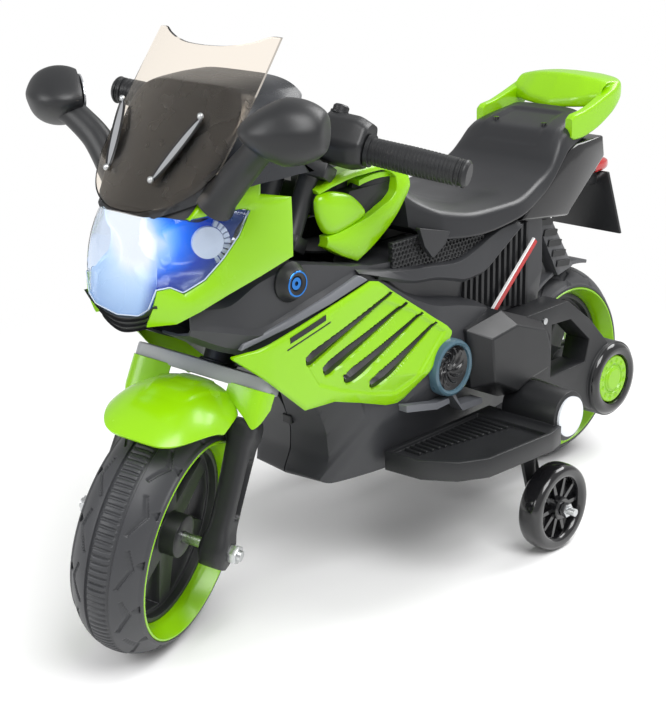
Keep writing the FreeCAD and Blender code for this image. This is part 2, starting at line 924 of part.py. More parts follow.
def case_outline(grow):
    """Outline round the three gear circles, measured along the line of the shafts."""
    big = (S.drive_teeth.value / 2 + 1) * S.gear_module.value + grow
    mid = (S.big_teeth.value / 2 + 1) * S.gear_module.value + grow
    small = (S.pinion_teeth.value / 2 + 1) * S.gear_module.value + grow
    along = [(-big, -0.45 * big), (-0.45 * big, -big), (0.4 * big, -big), (reach_idler + 8, -mid),
             (reach_motor + 0.5 * small, -small), (reach_motor + small, 0)]
    along += [(a, -b) for a, b in reversed(along[:-1])]
    return [(a * math.cos(train) - b * math.sin(train), a * math.sin(train) + b * math.cos(train))
            for a, b in along]


room = S.case_room.value
lid_end = S.lid_y + S.lid_len
case = prism(case_outline(room), "y", -S.case_end.value, -lid_end.value)
case = case.cut(prism(case_outline(room - S.case_wall.value), "y", -(S.case_end - S.case_wall).value, 0))
for hole in (drum(S.spacer_r + S.cap_fit, -S.case_end, -lid_end),
             drum(S.shaft_r + 1, -S.case_end, -lid_end, *motor_xz)):
    case = case.cut(hole)
case = case.fuse(drum(S.idler_pin_r, -S.case_end + S.case_wall, -lid_end - S.small_over, *idler_xz))
lid = prism(case_outline(room), "y", -lid_end.value, -S.lid_y.value)
lid = lid.cut(drum(S.drive_boss_r + 2, -lid_end, -S.lid_y))
node(put(group("gearbox_case", [feature("case_box", case), feature("case_lid", lid)]), REAR))

# Swinging arms, axle and hub caps at the rear.


def across(side, y_from, y_to):
    """Two distances from the middle plane, in rising order on the given side."""
    return sorted((side * float(y_from), side * float(y_to)))


arms = []
caps = []
for name, side in (("left", 1), ("right", -1)):
    outline = [(S.arm_front, S.arm_top), (S.arm_knee, S.arm_top), (S.arm_back, S.arm_heel),
               (0, S.ring_r * 0.9), (0, S.ring_r * -0.9), (S.arm_toe, S.arm_low_back),
               (S.arm_knee, S.arm_low_knee), (S.arm_front, S.arm_low_front)]
    ends = (S.arm_in, S.arm_out) if side > 0 else (-S.arm_out, -S.arm_in)
    plate = pad_y("arm_plate_" + name, outline, *ends)
    sketch = new_sketch(plate, "XZ_Plane", 0)
    draw_outline(sketch, [
        (S.arm_front - 46, S.arm_top - 20), (S.arm_knee - 6, S.arm_top - 22), (S.arm_back, S.arm_heel - 23),
        (S.arm_back + 7, S.arm_low_knee + 22), (S.arm_front - 46, S.arm_low_knee + 22)])
    plate.Tip = pocket_through(plate, sketch)
    spacer_from = S.hub_half + S.hub_gap if side > 0 else drive_end + S.hub_gap
    ring = feature("arm_ring_" + name, drum(S.ring_r, *across(side, S.arm_in, S.ring_out)).fuse(
        drum(S.spacer_r, *across(side, spacer_from, S.arm_in))))
    solid = fuse("arm_solid_" + name, [plate, ring])
    recess = S.cap_r + S.cap_fit
    recess_ends = across(side, S.ring_out - S.cap_recess, S.ring_out + 9)
    hollow = feature("arm_hollow_" + name, drum(recess, *recess_ends).fuse(
        drum(axle_seat, *across(side, 0, S.ring_out))))
    arms.append(cut("arm_" + name, solid, hollow))
    cap = drum(S.cap_r, *across(side, S.ring_out - S.cap_len + 2, S.ring_out + 2))
    caps.append(feature("cap_" + name, cap))
node(put(group("swingarms", arms), REAR))
node(put(group("axle_caps", caps), REAR))
axle("rear_axle", S.ring_out - S.cap_len + 1, S.ring_out - S.cap_recess, REAR)

# Training wheels on bent steel struts under the footrests.
train_bore = S.bolt_r + S.running_fit
struts = []
bolts = []
discs = []
for name, side in (("left", 1), ("right", -1)):
    wheel = turned_y("training_wheel_" + name, [
        (train_bore, -S.train_half), (S.train_hub_r, -S.train_half), (S.train_hub_r, -S.train_web),
        (S.train_rim_in, -S.train_web), (S.train_rim_in, -S.train_half),
        (S.train_r - S.train_shoulder, -S.train_half),
        (S.train_r, S.train_shoulder - S.train_half), (S.train_r, S.train_half - S.train_shoulder),
        (S.train_r - S.train_shoulder, S.train_half), (S.train_rim_in, S.train_half),
        (S.train_rim_in, S.train_web),
        (S.train_hub_r, S.train_web), (S.train_hub_r, S.train_half), (train_bore, S.train_half)])
    node(place(wheel, S.train_x, S.train_y * side, S.train_r))

    half = S.strut_w / 2
    ends = (S.strut_y - S.strut_wall, S.strut_y) if side > 0 else (-S.strut_y, S.strut_wall - S.strut_y)
    plate = pad_y("strut_plate_" + name, [
        (S.train_x + S.strut_shift + half, S.strut_top), (S.train_x + S.strut_shift - half, S.strut_top),
        (S.train_x - half, S.train_r), (S.train_x - half / 2, S.train_r - half),
        (S.train_x + half / 2, S.train_r - half),
        (S.train_x + half, S.train_r)], *ends)
    ends = (S.strut_y - S.strut_flange, S.strut_y) if side > 0 else (-S.strut_y, S.strut_flange - S.strut_y)
    strut_x = S.train_x + S.strut_shift
    flange = block("strut_flange_" + name, (strut_x - half, strut_x + half), ends,
                   (S.strut_top, S.foot_low - S.disc_gap))
    hole = rod("strut_hole_" + name, S.bolt_r + S.seat_fit, S.strut_y * 2, V(0, 1, 0))
    place(hole, S.train_x, -S.strut_y, S.train_r)
    struts.append(cut("strut_" + name, fuse("strut_solid_" + name, [plate, flange]), hole))

    inner = S.strut_y - S.strut_wall
    shank = turned_y("bolt_" + name, [
        (0, inner * side), (0, (inner - S.bolt_head) * side), (S.bolt_head_r, (inner - S.bolt_head) * side),
        (S.bolt_head_r, inner * side), (S.bolt_r, inner * side), (S.bolt_r, S.bolt_end * side),
        (0, S.bolt_end * side)])
    bolts.append(place(shank, S.train_x, 0, S.train_r))
    face = S.train_y + S.train_half + S.hub_gap
    ends = (face, face + S.train_nut_len) if side > 0 else (-face - S.train_nut_len, -face)
    nut = hex_nut("bolt_nut_" + name, ends[0], ends[1], S.bolt_r + S.seat_fit, S.train_nut_r)
    bolts.append(place(nut, S.train_x, 0, S.train_r))

    rise = S.foot_high - S.foot_deep
    plan = [(S.foot_front, S.foot_in), (S.foot_front - 4, S.foot_in + 42),
            (S.foot_front - 24, S.foot_out - 23), (S.foot_front - 51, S.foot_out - 7),
            (S.foot_back + 22, S.foot_out), (S.foot_back, S.foot_out - 5), (S.foot_back, S.foot_in)]
    if side < 0:
        plan = [(x, -y) for x, y in plan]
    tread = pad_z("foot_tread_" + name, plan, S.foot_low, S.foot_high)
    rim = S.foot_rim
    well = [(S.foot_front - rim, S.foot_in + rim), (S.foot_front - 4 - rim, S.foot_in + 40),
            (S.foot_front - 27, S.foot_out - 23 - rim), (S.foot_front - 53, S.foot_out - 7 - rim),
            (S.foot_back + 26, S.foot_out - rim), (S.foot_back + 26, S.foot_in + rim)]
    if side < 0:
        well = [(x, -y) for x, y in well]
    sketch = new_sketch(tread, "XY_Plane", S.foot_high)
    draw_outline(sketch, well)
    tread.Tip = pocket_deep(tread, sketch, S.foot_deep, False)
    boss = rod("foot_boss_" + name, S.boss_r, S.boss_to - S.boss_from, V(0, side, 0))
    place(boss, S.boss_x, S.boss_from * side, S.boss_z)
    pieces = [tread, boss]
    if side < 0:
        for spot, ear in (("in", S.pedal_in - S.pedal_ear), ("out", S.pedal_out)):
            pieces.append(block("pedal_ear_" + spot, (S.pedal_back - 4, S.pedal_back + 4),
                                (-ear - S.pedal_ear, -ear), (rise, S.pedal_z + S.pedal_len)))
        pin = rod("pedal_pin", S.pedal_pin_r, S.pedal_out - S.pedal_in + S.pedal_ear, V(0, -1, 0))
        pieces.append(place(pin, S.pedal_back, -S.pedal_in + S.pedal_ear / 2, S.pedal_z + S.pedal_len / 2))
    node(fuse("footrest_" + name, pieces))
    disc = rod("disc_" + name, S.disc_r, S.disc_len, V(0, side, 0))
    discs.append(place(disc, S.boss_x, (S.boss_to + S.disc_gap) * side, S.boss_z))
node(group("training_struts", struts))
node(group("training_bolts", bolts))
node(group("footrest_discs", discs))

pedal_axis = S.pedal_z + S.pedal_len / 2
pedal_ends = (-S.pedal_out + S.pedal_gap, -S.pedal_in - S.pedal_gap)
pedal = pad_y("accelerator_pedal", [
    (S.pedal_back - 4, S.pedal_z), (S.pedal_front, S.pedal_z), (S.pedal_front, S.pedal_z + S.pedal_len),
    (S.pedal_back - 4, S.pedal_z + S.pedal_len)], *pedal_ends)
sketch = new_sketch(pedal, "XZ_Plane", 0)
draw_circle(sketch, S.pedal_back, pedal_axis, S.pedal_pin_r + S.running_fit)
pedal.Tip = pocket_through(pedal, sketch)
node(pedal)

# Main body: two half shells round a head tube, ruled through cross sections from neck to tail.
BODY = stations("hull", ("x", "low_z", "low_w", "mid_z", "mid_w", "top_z", "top_w"), [
    (252.0, 291.0, 44.0, 302.0, 58.0, 318.0, 56.0),
    (216.0, 266.0, 52.0, 292.0, 68.0, 338.0, 66.0),
    (176.0, 212.0, 50.0, 252.0, 72.0, 346.0, 68.0),
    (128.0, 178.0, 50.0, 240.0, 77.0, 336.0, 68.0),
    (119.0, 116.0, 50.0, 228.0, 78.0, 335.0, 68.0),
    (60.0, 112.0, 66.0, 216.0, 86.0, 322.0, 66.0),
    (-8.0, 112.0, 70.0, 204.0, 92.0, 318.0, 68.0),
    (-84.0, 114.0, 64.0, 208.0, 80.0, 318.0, 68.0),
    (-140.0, 116.0, 52.0, 212.0, 58.0, 318.0, 58.0),
    (-170.0, 118.0, 50.0, 215.0, 57.0, 318.0, 57.0),
    (-176.0, 150.0, 50.0, 222.0, 57.0, 317.0, 57.0),
    (-194.0, 186.0, 50.0, 240.0, 57.0, 315.0, 57.0),
    (-216.0, 213.0, 50.0, 255.0, 57.0, 311.5, 56.0),
])


def hull(grow, ends=0.0, slide=0.0):
    """The body's outer form, made wider by grow, or smaller where grow is below zero; ends lengthens
    it, and slide draws its steep nose and tail inwards."""
    made = []
    for number, row in enumerate(BODY):
        x = float(row.x)
        if x > S.nose_from.value:
            x -= slide
        if x < S.tail_from.value:
            x += slide
        if number == 0:
            x += ends
        if number == len(BODY) - 1:
            x -= ends
        left = [(0.0, float(row.low_z) - grow), (float(row.low_w) + grow, float(row.low_z) - grow),
                (float(row.mid_w) + grow, float(row.mid_z)),
                (float(row.top_w) + grow, float(row.top_z) + grow), (0.0, float(row.top_z) + grow)]
        made.append([V(x, y, z) for y, z in both(left)])
    return loft(made)


def along_axis(radius, z_from, z_to):
    """Cylinder on the steering axis in the straight ahead frame."""
    made = Part.makeCylinder(float(radius), float(z_to) - float(z_from), V(0, 0, float(z_from)), V(0, 0, 1))
    made.Placement = HEAD
    return made


def near(box):
    return Part.makeBox(box[1] - box[0], box[3] - box[2], box[5] - box[4], V(box[0], box[2], box[4]))


wall = S.shell_wall.value
head_low = S.crown_z + S.crown_len + S.head_gap + S.flange_len
head_high = S.low_yoke_z - S.head_gap - S.flange_len
bush_r = S.column_r + S.bush_wall
shell = hull(0.0).cut(hull(-wall, 0.0, wall)).fuse(along_axis(S.head_r, head_low, head_high))
shell = shell.cut(along_axis(bush_r + S.seat_fit, head_low - 40, head_high + 40))
shell = shell.cut(along_axis(S.head_r + 3, head_low - 60, head_low))
crown_sweep = along_axis(math.hypot(S.crown_front.value, S.crown_half.value) + S.steer_room.value,
                         S.crown_z - S.steer_room, S.crown_z + S.crown_len + S.head_gap)
shell = shell.cut(crown_sweep)
shell = shell.cut(along_axis(S.head_r + 3, head_high, head_high + 60))
far = 900.0
split = S.half_gap.value / 2
socket_hole = drum(S.socket_r + S.seat_fit, -S.socket_out - 20, -S.socket_in, S.socket_x, S.socket_z)
node(feature("body_left", shell.common(near((-far, far, split, far, -far, far)))))
case_pocket = prism(case_outline(room + S.steer_room.value), "y", -(S.case_end + S.steer_room).value,
                    (S.steer_room - S.lid_y).value)
case_pocket.Placement = REAR
right_half = shell.common(near((-far, far, -far, -split, -far, far)))
node(feature("body_right", right_half.cut(socket_hole).cut(case_pocket)))
socket = drum(S.socket_r, -S.socket_out, -S.socket_in, S.socket_x, S.socket_z)
socket = socket.cut(drum(S.socket_bore, -S.socket_out, S.socket_deep - S.socket_out, S.socket_x, S.socket_z))
node(feature("charge_socket", socket))

bushes = []
for name, low, flip in (("low", head_low, 1), ("high", head_high, -1)):
    bush = turned_z("bush_" + name, [
        (S.column_r + S.running_fit, -S.flange_len * flip), (S.flange_r, -S.flange_len * flip),
        (S.flange_r, 0), (bush_r, 0), (bush_r, S.bush_len * flip),
        (S.column_r + S.running_fit, S.bush_len * flip)])
    bushes.append(place(bush, 0, 0, low))
node(put(group("steering_bushes", bushes), HEAD))

# Coloured side panels that follow the body, each with four tapering louvres.
PANEL = stations("panel", ("x", "z"), [
    (250.0, 278.0), (84.0, 313.0), (66.0, 306.0), (-20.0, 244.0), (-18.0, 233.0), (52.0, 186.0),
    (68.0, 186.0), (138.0, 209.0), (178.0, 211.0)])
LOUVRE = stations("louvre", ("top_x", "top_z", "low_x", "low_z"), [
    (55.0, 297.0, 180.0, 256.0), (35.0, 282.0, 154.0, 241.0), (15.0, 267.0, 125.0, 226.0),
    (-2.0, 253.0, 92.0, 213.0)])
gap = S.panel_gap.value
panel = hull(gap + S.panel_out.value, 40.0).cut(hull(gap, 60.0))
panel = panel.common(prism([(row.x, row.z) for row in PANEL], "y", 20.0, 200.0))
for row in LOUVRE:
    top = V(float(row.top_x), 0, float(row.top_z))
    low = V(float(row.low_x), 0, float(row.low_z))
    way = (low - top).normalize()
    side = V(-way.z, 0, way.x)
    thin = side * (S.slot_thin.value / 2)
    wide = side * (S.slot_wide.value / 2)
    slot = [(p.x, p.z) for p in (top + thin, low + wide, low - wide, top - thin)]
    panel = panel.cut(prism(slot, "y", 20.0, 200.0))
panel = panel.cut(crown_sweep)
node(feature("side_panel_left", panel))
node(feature("side_panel_right", mirrored(panel)))

# Faceted covers over the drive and round vents in front of them.
COVER = stations("cover", ("in_x", "in_z", "out_x", "out_z"), [
    (-42.0, 240.0, -56.0, 231.0), (-72.0, 244.0, -76.0, 234.0), (-150.0, 216.0, -138.0, 212.0),
    (-158.0, 190.0, -144.0, 194.0), (-68.0, 168.0, -70.0, 178.0), (-42.0, 186.0, -54.0, 193.0),
    (-38.0, 212.0, -50.0, 212.0)])
mid_x = sum(float(row.out_x) for row in COVER) / len(COVER)
mid_z = sum(float(row.out_z) for row in COVER) / len(COVER)


def cover_form(scale, y_in, y_out):
    rings = []
    for y, kind in ((y_in, "in"), (y_out, "out")):
        ring = []
        for row in COVER:
            x = float(getattr(row, kind + "_x"))
            z = float(getattr(row, kind + "_z"))
            ring.append(V(mid_x + (x - mid_x) * scale, float(y), mid_z + (z - mid_z) * scale))
        rings.append(ring)
    return loft(rings)


cover = cover_form(1.0, S.cover_y, S.cover_out)
cover = cover.cut(cover_form(0.86, S.cover_y - 1, S.cover_out - S.cover_wall))
node(group("motor_covers", [feature("motor_cover_l", cover), feature("motor_cover_r", mirrored(cover))]))
vent_from = S.cover_y + S.vent_gap - 0.3
vent = drum(S.vent_r, vent_from, vent_from + S.vent_len, S.vent_x, S.vent_z)
vent = vent.cut(drum(S.vent_dish, vent_from + S.vent_deep, vent_from + 20, S.vent_x, S.vent_z))
node(group("round_vents", [feature("vent_l", vent), feature("vent_r", mirrored(vent))]))

# Seat and tank: thin shells open below.
SEAT = stations("saddle", ("x", "low_z", "low_w", "edge_z", "edge_w", "top_z", "top_w"), [
    (9.6, 346.0, 60.0, 374.0, 55.0, 398.0, 38.0), (-25.0, 330.0, 79.0, 356.0, 74.0, 372.0, 44.0),
    (-80.0, 325.0, 83.0, 347.0, 79.0, 354.0, 50.0), (-134.0, 330.0, 84.0, 348.0, 80.0, 351.0, 50.0),
    (-190.0, 344.5, 76.0, 361.0, 72.0, 362.0, 46.0), (-226.0, 368.3, 71.0, 378.0, 67.0, 385.0, 46.0),
    (-255.0, 386.2, 66.0, 408.0, 61.0, 420.0, 46.0), (-292.0, 389.8, 58.0, 423.0, 52.0, 431.0, 40.0)])
TANK = stations("tank", ("x", "low_z", "low_w", "edge_z", "edge_w", "top_z", "top_w"), [
    (112.0, 352.0, 34.0, 385.0, 34.0, 402.0, 24.0), (86.0, 338.0, 50.0, 385.0, 50.0, 409.0, 33.0),
    (57.0, 326.0, 58.0, 382.0, 58.0, 411.0, 36.0), (10.0, 360.0, 56.0, 392.0, 54.0, 408.0, 38.0)])


def arch(rows, inset, drop, ends):
    """Ruled form over a table of arches; inset and drop make the hollow inside it."""
    made = []
    for number, row in enumerate(rows):
        x = float(row.x)
        if number == 0:
            x -= ends
        if number == len(rows) - 1:
            x += ends
        left = [(0.0, float(row.low_z) - drop), (float(row.low_w) - inset, float(row.low_z) - drop),
                (float(row.edge_w) - inset, float(row.edge_z) - inset / 2),
                (float(row.top_w) - inset / 2, float(row.top_z) - inset), (0.0, float(row.top_z) - inset)]
        made.append([V(x, y, z) for y, z in both(left)])
    return loft(made)


seat = arch(SEAT, 0.0, 0.0, 0.0).cut(arch(SEAT, S.seat_wall.value, 40.0, S.seat_wall.value))
node(feature("seat", seat))
tank = arch(TANK, 0.0, 0.0, 0.0).cut(arch(TANK, S.tank_wall.value, 40.0, S.tank_wall.value))
dash_room = (S.dash_half + S.dash_gap).value
tank = tank.cut(near(((S.dash_from - S.dash_gap).value, (S.dash_to + S.dash_gap).value, -dash_room, dash_room,
                      S.dash_z.value - 4, S.dash_z.value + 30)))
side_room = (S.dash_wide + S.dash_gap).value
tank = tank.cut(near(((S.dash_from - S.dash_gap).value, (S.dash_to + S.dash_gap).value, -side_room, side_room,
                      (S.dash_low - S.dash_gap).value, (S.dash_shoulder + S.dash_gap).value)))
WINDOW = stations("window", ("x", "z"), [
    (80.0, 398.0), (20.0, 396.0), (38.0, 366.0), (58.0, 368.0), (76.0, 384.0)])
tank = tank.cut(prism([(row.x, row.z) for row in WINDOW], "y", -100.0, 100.0))
tank = tank.cut(along_axis(math.hypot(S.yoke_depth.value, S.yoke_half.value) + S.steer_room.value,
                           S.yoke_z - S.steer_room, S.bar_z + S.clamp_over + S.steer_room))
tank = tank.cut(along_axis(S.riser_y + S.riser_r + S.steer_room, S.low_yoke_z, S.yoke_z))
node(feature("tank_cover", tank))

dash = fuse("dash_block", [
    block("dash_top", (S.dash_from, S.dash_to), (-S.dash_half, S.dash_half),
          (S.dash_low, S.dash_z + S.dash_len)),
    block("dash_sides", (S.dash_from, S.dash_to), (-S.dash_wide, S.dash_wide),
          (S.dash_low, S.dash_shoulder))])
rocker_w = S.rocker_half_w + S.rocker_fit
rocker_room = S.rocker_r + S.rocker_fit
window = block("rocker_window", (S.rocker_x - rocker_room, S.rocker_x + rocker_room), (-rocker_w, rocker_w),
               (S.dash_z + S.dash_len - S.switch_deep, S.dash_z + S.dash_len + 1))
pin_room = rocker_w + S.rocker_pin_len
pin_hole = rod("rocker_pin_hole", S.rocker_pin + S.running_fit, pin_room * 2, V(0, 1, 0))
place(pin_hole, S.rocker_x, -pin_room, S.dash_z + S.dash_len / 2)
node(cut("dash_panel", dash, fuse("dash_cuts", [window, pin_hole])))
low = -S.dash_len / 2
key = pad_y("rocker_key", [
    (S.rocker_r * -0.8, low), (S.rocker_r * 0.8, low), (S.rocker_r * 0.94, 0),
    (S.rocker_r * 0.8, S.dash_len / 2 + S.rocker_out), (0, S.dash_len / 2 + S.rocker_dip),
    (S.rocker_r * -0.8, S.dash_len / 2 + S.rocker_out), (S.rocker_r * -0.94, 0)],
    -S.rocker_half_w, S.rocker_half_w)
pin = rod("rocker_pivot", S.rocker_pin, (S.rocker_half_w + S.rocker_pin_len) * 2, V(0, 1, 0))
place(pin, 0, -S.rocker_half_w - S.rocker_pin_len, 0)
node(put(fuse("drive_switch", [key, pin]), FreeCAD.Placement(
    V(S.rocker_x.value, 0, S.dash_z.value + S.dash_len.value / 2), FreeCAD.Rotation())))

# Front mask: one curved band cut into lens, cheeks and chin, with lamps behind the lens.
MASK = stations("mask", ("z", "x0", "x1", "y1", "x2", "y2", "x3", "y3", "y4"), [
    (306.0, 316.0, 316.0, 30.0, 305.0, 45.0, 250.0, 66.0, 76.0),
    (330.0, 321.0, 323.0, 30.0, 321.0, 44.0, 264.0, 69.0, 79.0),
    (368.0, 320.0, 319.0, 30.0, 310.0, 49.0, 256.0, 72.0, 81.0),
    (404.0, 314.0, 312.0, 28.0, 300.0, 49.0, 244.0, 72.0, 80.0),
    (436.0, 290.0, 287.0, 26.0, 272.0, 47.0, 230.0, 67.0, 75.0)])
LENS = stations("lens", ("y", "z"), [
    (0.0, 328.0), (32.0, 330.0), (40.0, 343.0), (50.0, 337.0), (64.0, 368.0), (71.5, 405.0), (46.0, 392.0),
    (26.0, 402.0), (0.0, 408.0)])
CHEEK_TOP = stations("cheek", ("x", "z"), [
    (330.0, 404.0), (276.0, 406.0), (232.0, 434.0), (214.0, 414.0), (180.0, 408.0)])
CHEEK_LOW = stations("jaw", ("x", "z"), [(180.0, 356.0), (330.0, 323.0)])


def mask_form(inset, back):
    made = []
    for row in MASK:
        z = float(row.z)
        left = [(float(row.x0) - inset, 0.0), (float(row.x1) - inset, float(row.y1) - inset / 2),
                (float(row.x2) - inset, float(row.y2) - inset),
                (float(row.x3) - inset / 2, float(row.y3) - inset),
                (back, float(row.y4) - inset)]
        ring = left + [(x, -y) for x, y in reversed(left) if y > 0]
        made.append([V(x, y, z) for x, y in ring])
    return loft(made)


def lens_form(grow):
    """Front view of the lens, widened by grow about its middle height."""
    mid = 0.5 * (S.lens_low.value + S.lens_top.value)
    half = []
    for row in LENS:
        y = float(row.y)
        z = float(row.z)
        half.append((y + (grow if y > 0 else 0.0), z + (grow if z > mid else -grow)))
    return prism(both(half), "x", 205.0, 400.0)


back = S.mask_back.value
band = mask_form(0.0, back).cut(mask_form(S.mask_wall.value, back - 20.0))
j = S.joint.value
lens = band.common(lens_form(0.0))
chin_room = near((270.0, 400.0, -36.0, 36.0, 300.0, 360.0))
chin = band.common(near((270.0, 400.0, -36.0 + j, 36.0 - j, 300.0, 360.0))).cut(lens_form(j))
cheek_side = [(row.x, row.z) for row in CHEEK_TOP] + [(row.x, row.z) for row in CHEEK_LOW]
cheeks = band.common(prism(cheek_side, "y", -200.0, 200.0)).cut(lens_form(j)).cut(chin_room)
cheeks = cheeks.cut(near((250.0, 400.0, -30.0, 30.0, 300.0, 500.0)))
node(feature("headlight_lens", lens))
node(feature("chin_cover", chin))
node(feature("front_cowl", cheeks))

cups = []
leds = []
for name, side in (("left", 1), ("right", -1)):
    foot = V(S.lamp_x.value, S.lamp_y.value * side, S.lamp_z.value)
    way = V(1, 0, 0)
    length = S.lamp_len.value
    cup = Part.makeCone(S.led_r.value + 3, S.lamp_r.value, length, foot, way)
    hollow = Part.makeCone(S.led_r.value + 1, S.lamp_r.value - S.lamp_wall.value, length + 0.01,
                           foot + way * S.lamp_wall.value, way)
    neck = Part.makeCylinder(S.led_r.value + 3, foot.x - S.plate_x.value,
                             V(S.plate_x.value, foot.y, foot.z), way)
    cups.append(cup.cut(hollow).fuse(neck))
    dome = Part.makeSphere(S.led_r.value, foot + way * (S.lamp_wall.value + 0.1), way, 0, 90, 360)
    leds.append(feature("led_" + name, dome))
PLATE = stations("lamp_plate", ("y", "z"), [
    (0.0, 325.2), (44.0, 325.2), (60.0, 345.0), (60.0, 395.0), (0.0, 395.0)])
plate = prism(both([(float(row.y), float(row.z)) for row in PLATE]), "x", S.plate_x.value,
              S.plate_x.value + S.plate_len.value)
node(feature("headlight_reflectors", plate.fuse(cups)))
node(group("headlight_leds", leds))

# Windshield and the dark hood behind it.
GLASS = stations("glass", ("z", "mid_x", "side_x", "half"), [
    (400.0, 321.0, 300.0, 78.0), (444.0, 284.0, 268.0, 78.0), (492.0, 245.0, 232.0, 78.0),
    (552.0, 198.0, 186.0, 78.0)])
PANE = stations("pane", ("y", "z"), [
    (0.0, 411.0), (30.0, 414.0), (60.0, 424.0), (76.0, 444.0), (77.0, 490.0), (76.0, 546.0), (68.0, 548.0),
    (46.0, 541.0), (0.0, 537.0)])
HOOD = stations("hood", ("x", "low_z", "low_w", "edge_z", "edge_w", "top_z", "top_w"), [
    (170.0, 428.0, 73.0, 480.0, 70.0, 509.0, 44.0), (200.0, 428.0, 70.0, 474.0, 66.0, 505.0, 42.0),
    (233.0, 426.0, 62.0, 464.0, 58.0, 496.0, 38.0), (262.0, 422.0, 46.0, 440.0, 42.0, 464.0, 28.0),
    (292.0, 414.0, 20.0, 420.0, 18.0, 428.0, 12.0)])
levels = []
for row in GLASS:
    front = []
    for k in range(-4, 5):
        t = k / 4.0
        front.append((float(row.mid_x) - (float(row.mid_x) - float(row.side_x)) * t * t, float(row.half) * t))
    ring = front + [(x - S.glass_wall.value, y) for x, y in reversed(front)]
    levels.append([V(x, y, float(row.z)) for x, y in ring])
screen = loft(levels).common(prism(both([(float(row.y), float(row.z)) for row in PANE]), "x", 100.0, 400.0))
node(feature("windshield", screen))
hood = arch(HOOD, 0.0, 0.0, 0.0).cut(arch(HOOD, S.hood_wall.value, 60.0, 0.0 - S.hood_wall.value))
hood = hood.cut(near((100.0, 180.0, -44.0, 44.0, 400.0, 500.0)))
box_top = S.bar_z + S.box_high + S.box_knob_len
hood = hood.cut(along_axis(math.hypot(S.box_half_x.value, S.box_to.value) + S.steer_room.value,
                           S.bar_z - S.box_low - S.steer_room, box_top + S.steer_room))
node(feature("dash_hood", hood))

# Mirrors: an egg-shaped housing, cut flat for the glass, on an oval stem.


tilt = FreeCAD.Placement(V(S.mirror_x.value, S.mirror_y.value, S.mirror_z.value),
                         FreeCAD.Rotation(V(0, 0, 1), S.mirror_yaw.value))
face = S.mirror_face.value


def oval(deep, scale):
    """Ring of the egg at one depth, as a polygon of even steps."""
    turns = [2 * math.pi * k / 20 for k in range(20)]
    wide = S.mirror_wide.value * scale
    tall = S.mirror_tall.value * scale
    return [V(deep, wide * math.cos(a), tall * math.sin(a)) for a in turns]


first = math.asin(face / S.mirror_deep.value)
angles = [first + (math.radians(80) - first) * k / 7 for k in range(8)]
housing = loft([oval(S.mirror_deep.value * math.sin(a), math.cos(a)) for a in angles])
housing.Placement = tilt
low = V(S.stem_x.value, S.stem_y.value, S.stem_z.value)
high = V(S.mirror_x.value + 8.0, S.mirror_y.value - 16.0, S.mirror_z.value - 10.0)
stem = Part.makeCylinder(S.stem_r.value, (high - low).Length, low, high - low)
keep_out = mask_form(-0.3, back)
mirror = housing.fuse(stem).cut(keep_out)
ratio = math.cos(first) * S.mirror_inset.value
glass = loft([oval(face - 0.1 - S.mirror_glass.value, ratio), oval(face - 0.1, ratio)])
glass.Placement = tilt
node(group("mirrors", [feature("mirror_l", mirror), feature("mirror_r", mirrored(mirror))]))
node(group("mirror_glasses", [feature("mirror_glass_l", glass), feature("mirror_glass_r", mirrored(glass))]))

# Tail: mudguard with its struts, tail cover, grab handle, lamp and number plate holder.
mud = new_body("mud_shell")
sketch = new_sketch(mud, "XY_Plane", 0)
draw_outline(sketch, [(S.guard_in_r, -S.mud_half), (S.guard_out_r, -S.mud_half), (S.guard_out_r, S.mud_half),
                      (S.guard_in_r, S.mud_half)])
turn(mud, sketch, S.mud_to - S.mud_from, True)
mud.Placement = REAR.multiply(FreeCAD.Placement(V(0, 0, 0), FreeCAD.Rotation(V(0, 1, 0), -S.mud_from.value)))
LADDER = stations("ladder", ("x", "z"), [(-220.0, 312.4), (-246.0, 309.2), (-294.0, 240.0), (-266.0, 234.0)])
mud_parts = [mud]
for name, ends in (("left", (S.strut_in, S.strut_out)), ("right", (-S.strut_out, -S.strut_in))):
    bar = prism([(row.x, row.z) for row in LADDER], "y", ends[0].value, ends[1].value)
    bar = bar.cut(drum(S.guard_in_r + 1, -80, 80, S.rear_axle_x, S.tyre_r))
    mud_parts.append(feature("ladder_" + name, bar))
node(fuse("rear_mudguard", mud_parts))

TAIL = stations("tail_side", ("x", "z"), [
    (-165.0, 320.0), (-191.0, 344.0), (-222.0, 365.0), (-250.0, 382.0), (-262.0, 386.2), (-310.0, 388.0),
    (-314.0, 365.0), (-247.0, 310.0)])
tail_points = [(float(row.x), float(row.z)) for row in TAIL]
mid_x = sum(x for x, z in tail_points) / len(tail_points)
mid_z = sum(z for x, z in tail_points) / len(tail_points)
inner = [(mid_x + (x - mid_x) * 0.88, mid_z + (z - mid_z) * 0.84) for x, z in tail_points]
half = S.tail_half.value
tail = prism(tail_points, "y", -half, half)
tail = tail.cut(prism(inner, "y", S.tail_wall.value - half, half - S.tail_wall.value))
node(feature("tail_cover", tail))

ARM = stations("handle_arm", ("x", "z"), [
    (-232.0, 416.0), (-250.0, 388.6), (-304.0, 388.6), (-322.0, 420.0), (-360.0, 433.0), (-346.0, 447.0),
    (-296.0, 426.0)])
WING = stations("handle_wing", ("x", "z"), [
    (-293.0, 430.0), (-312.0, 452.0), (-364.0, 444.0), (-366.0, 434.0), (-324.0, 438.0), (-306.0, 422.0)])
handle = prism([(row.x, row.z) for row in WING], "y", -S.handle_out.value, S.handle_out.value)
for ends in ((S.handle_in.value, S.handle_out.value), (-S.handle_out.value, -S.handle_in.value)):
    handle = handle.fuse(prism([(row.x, row.z) for row in ARM], "y", ends[0], ends[1]))
handle = handle.cut(near((S.slot_back.value, S.slot_front.value, -S.slot_half.value, S.slot_half.value,
                          400.0, 480.0)))
node(feature("tail_handle", handle))

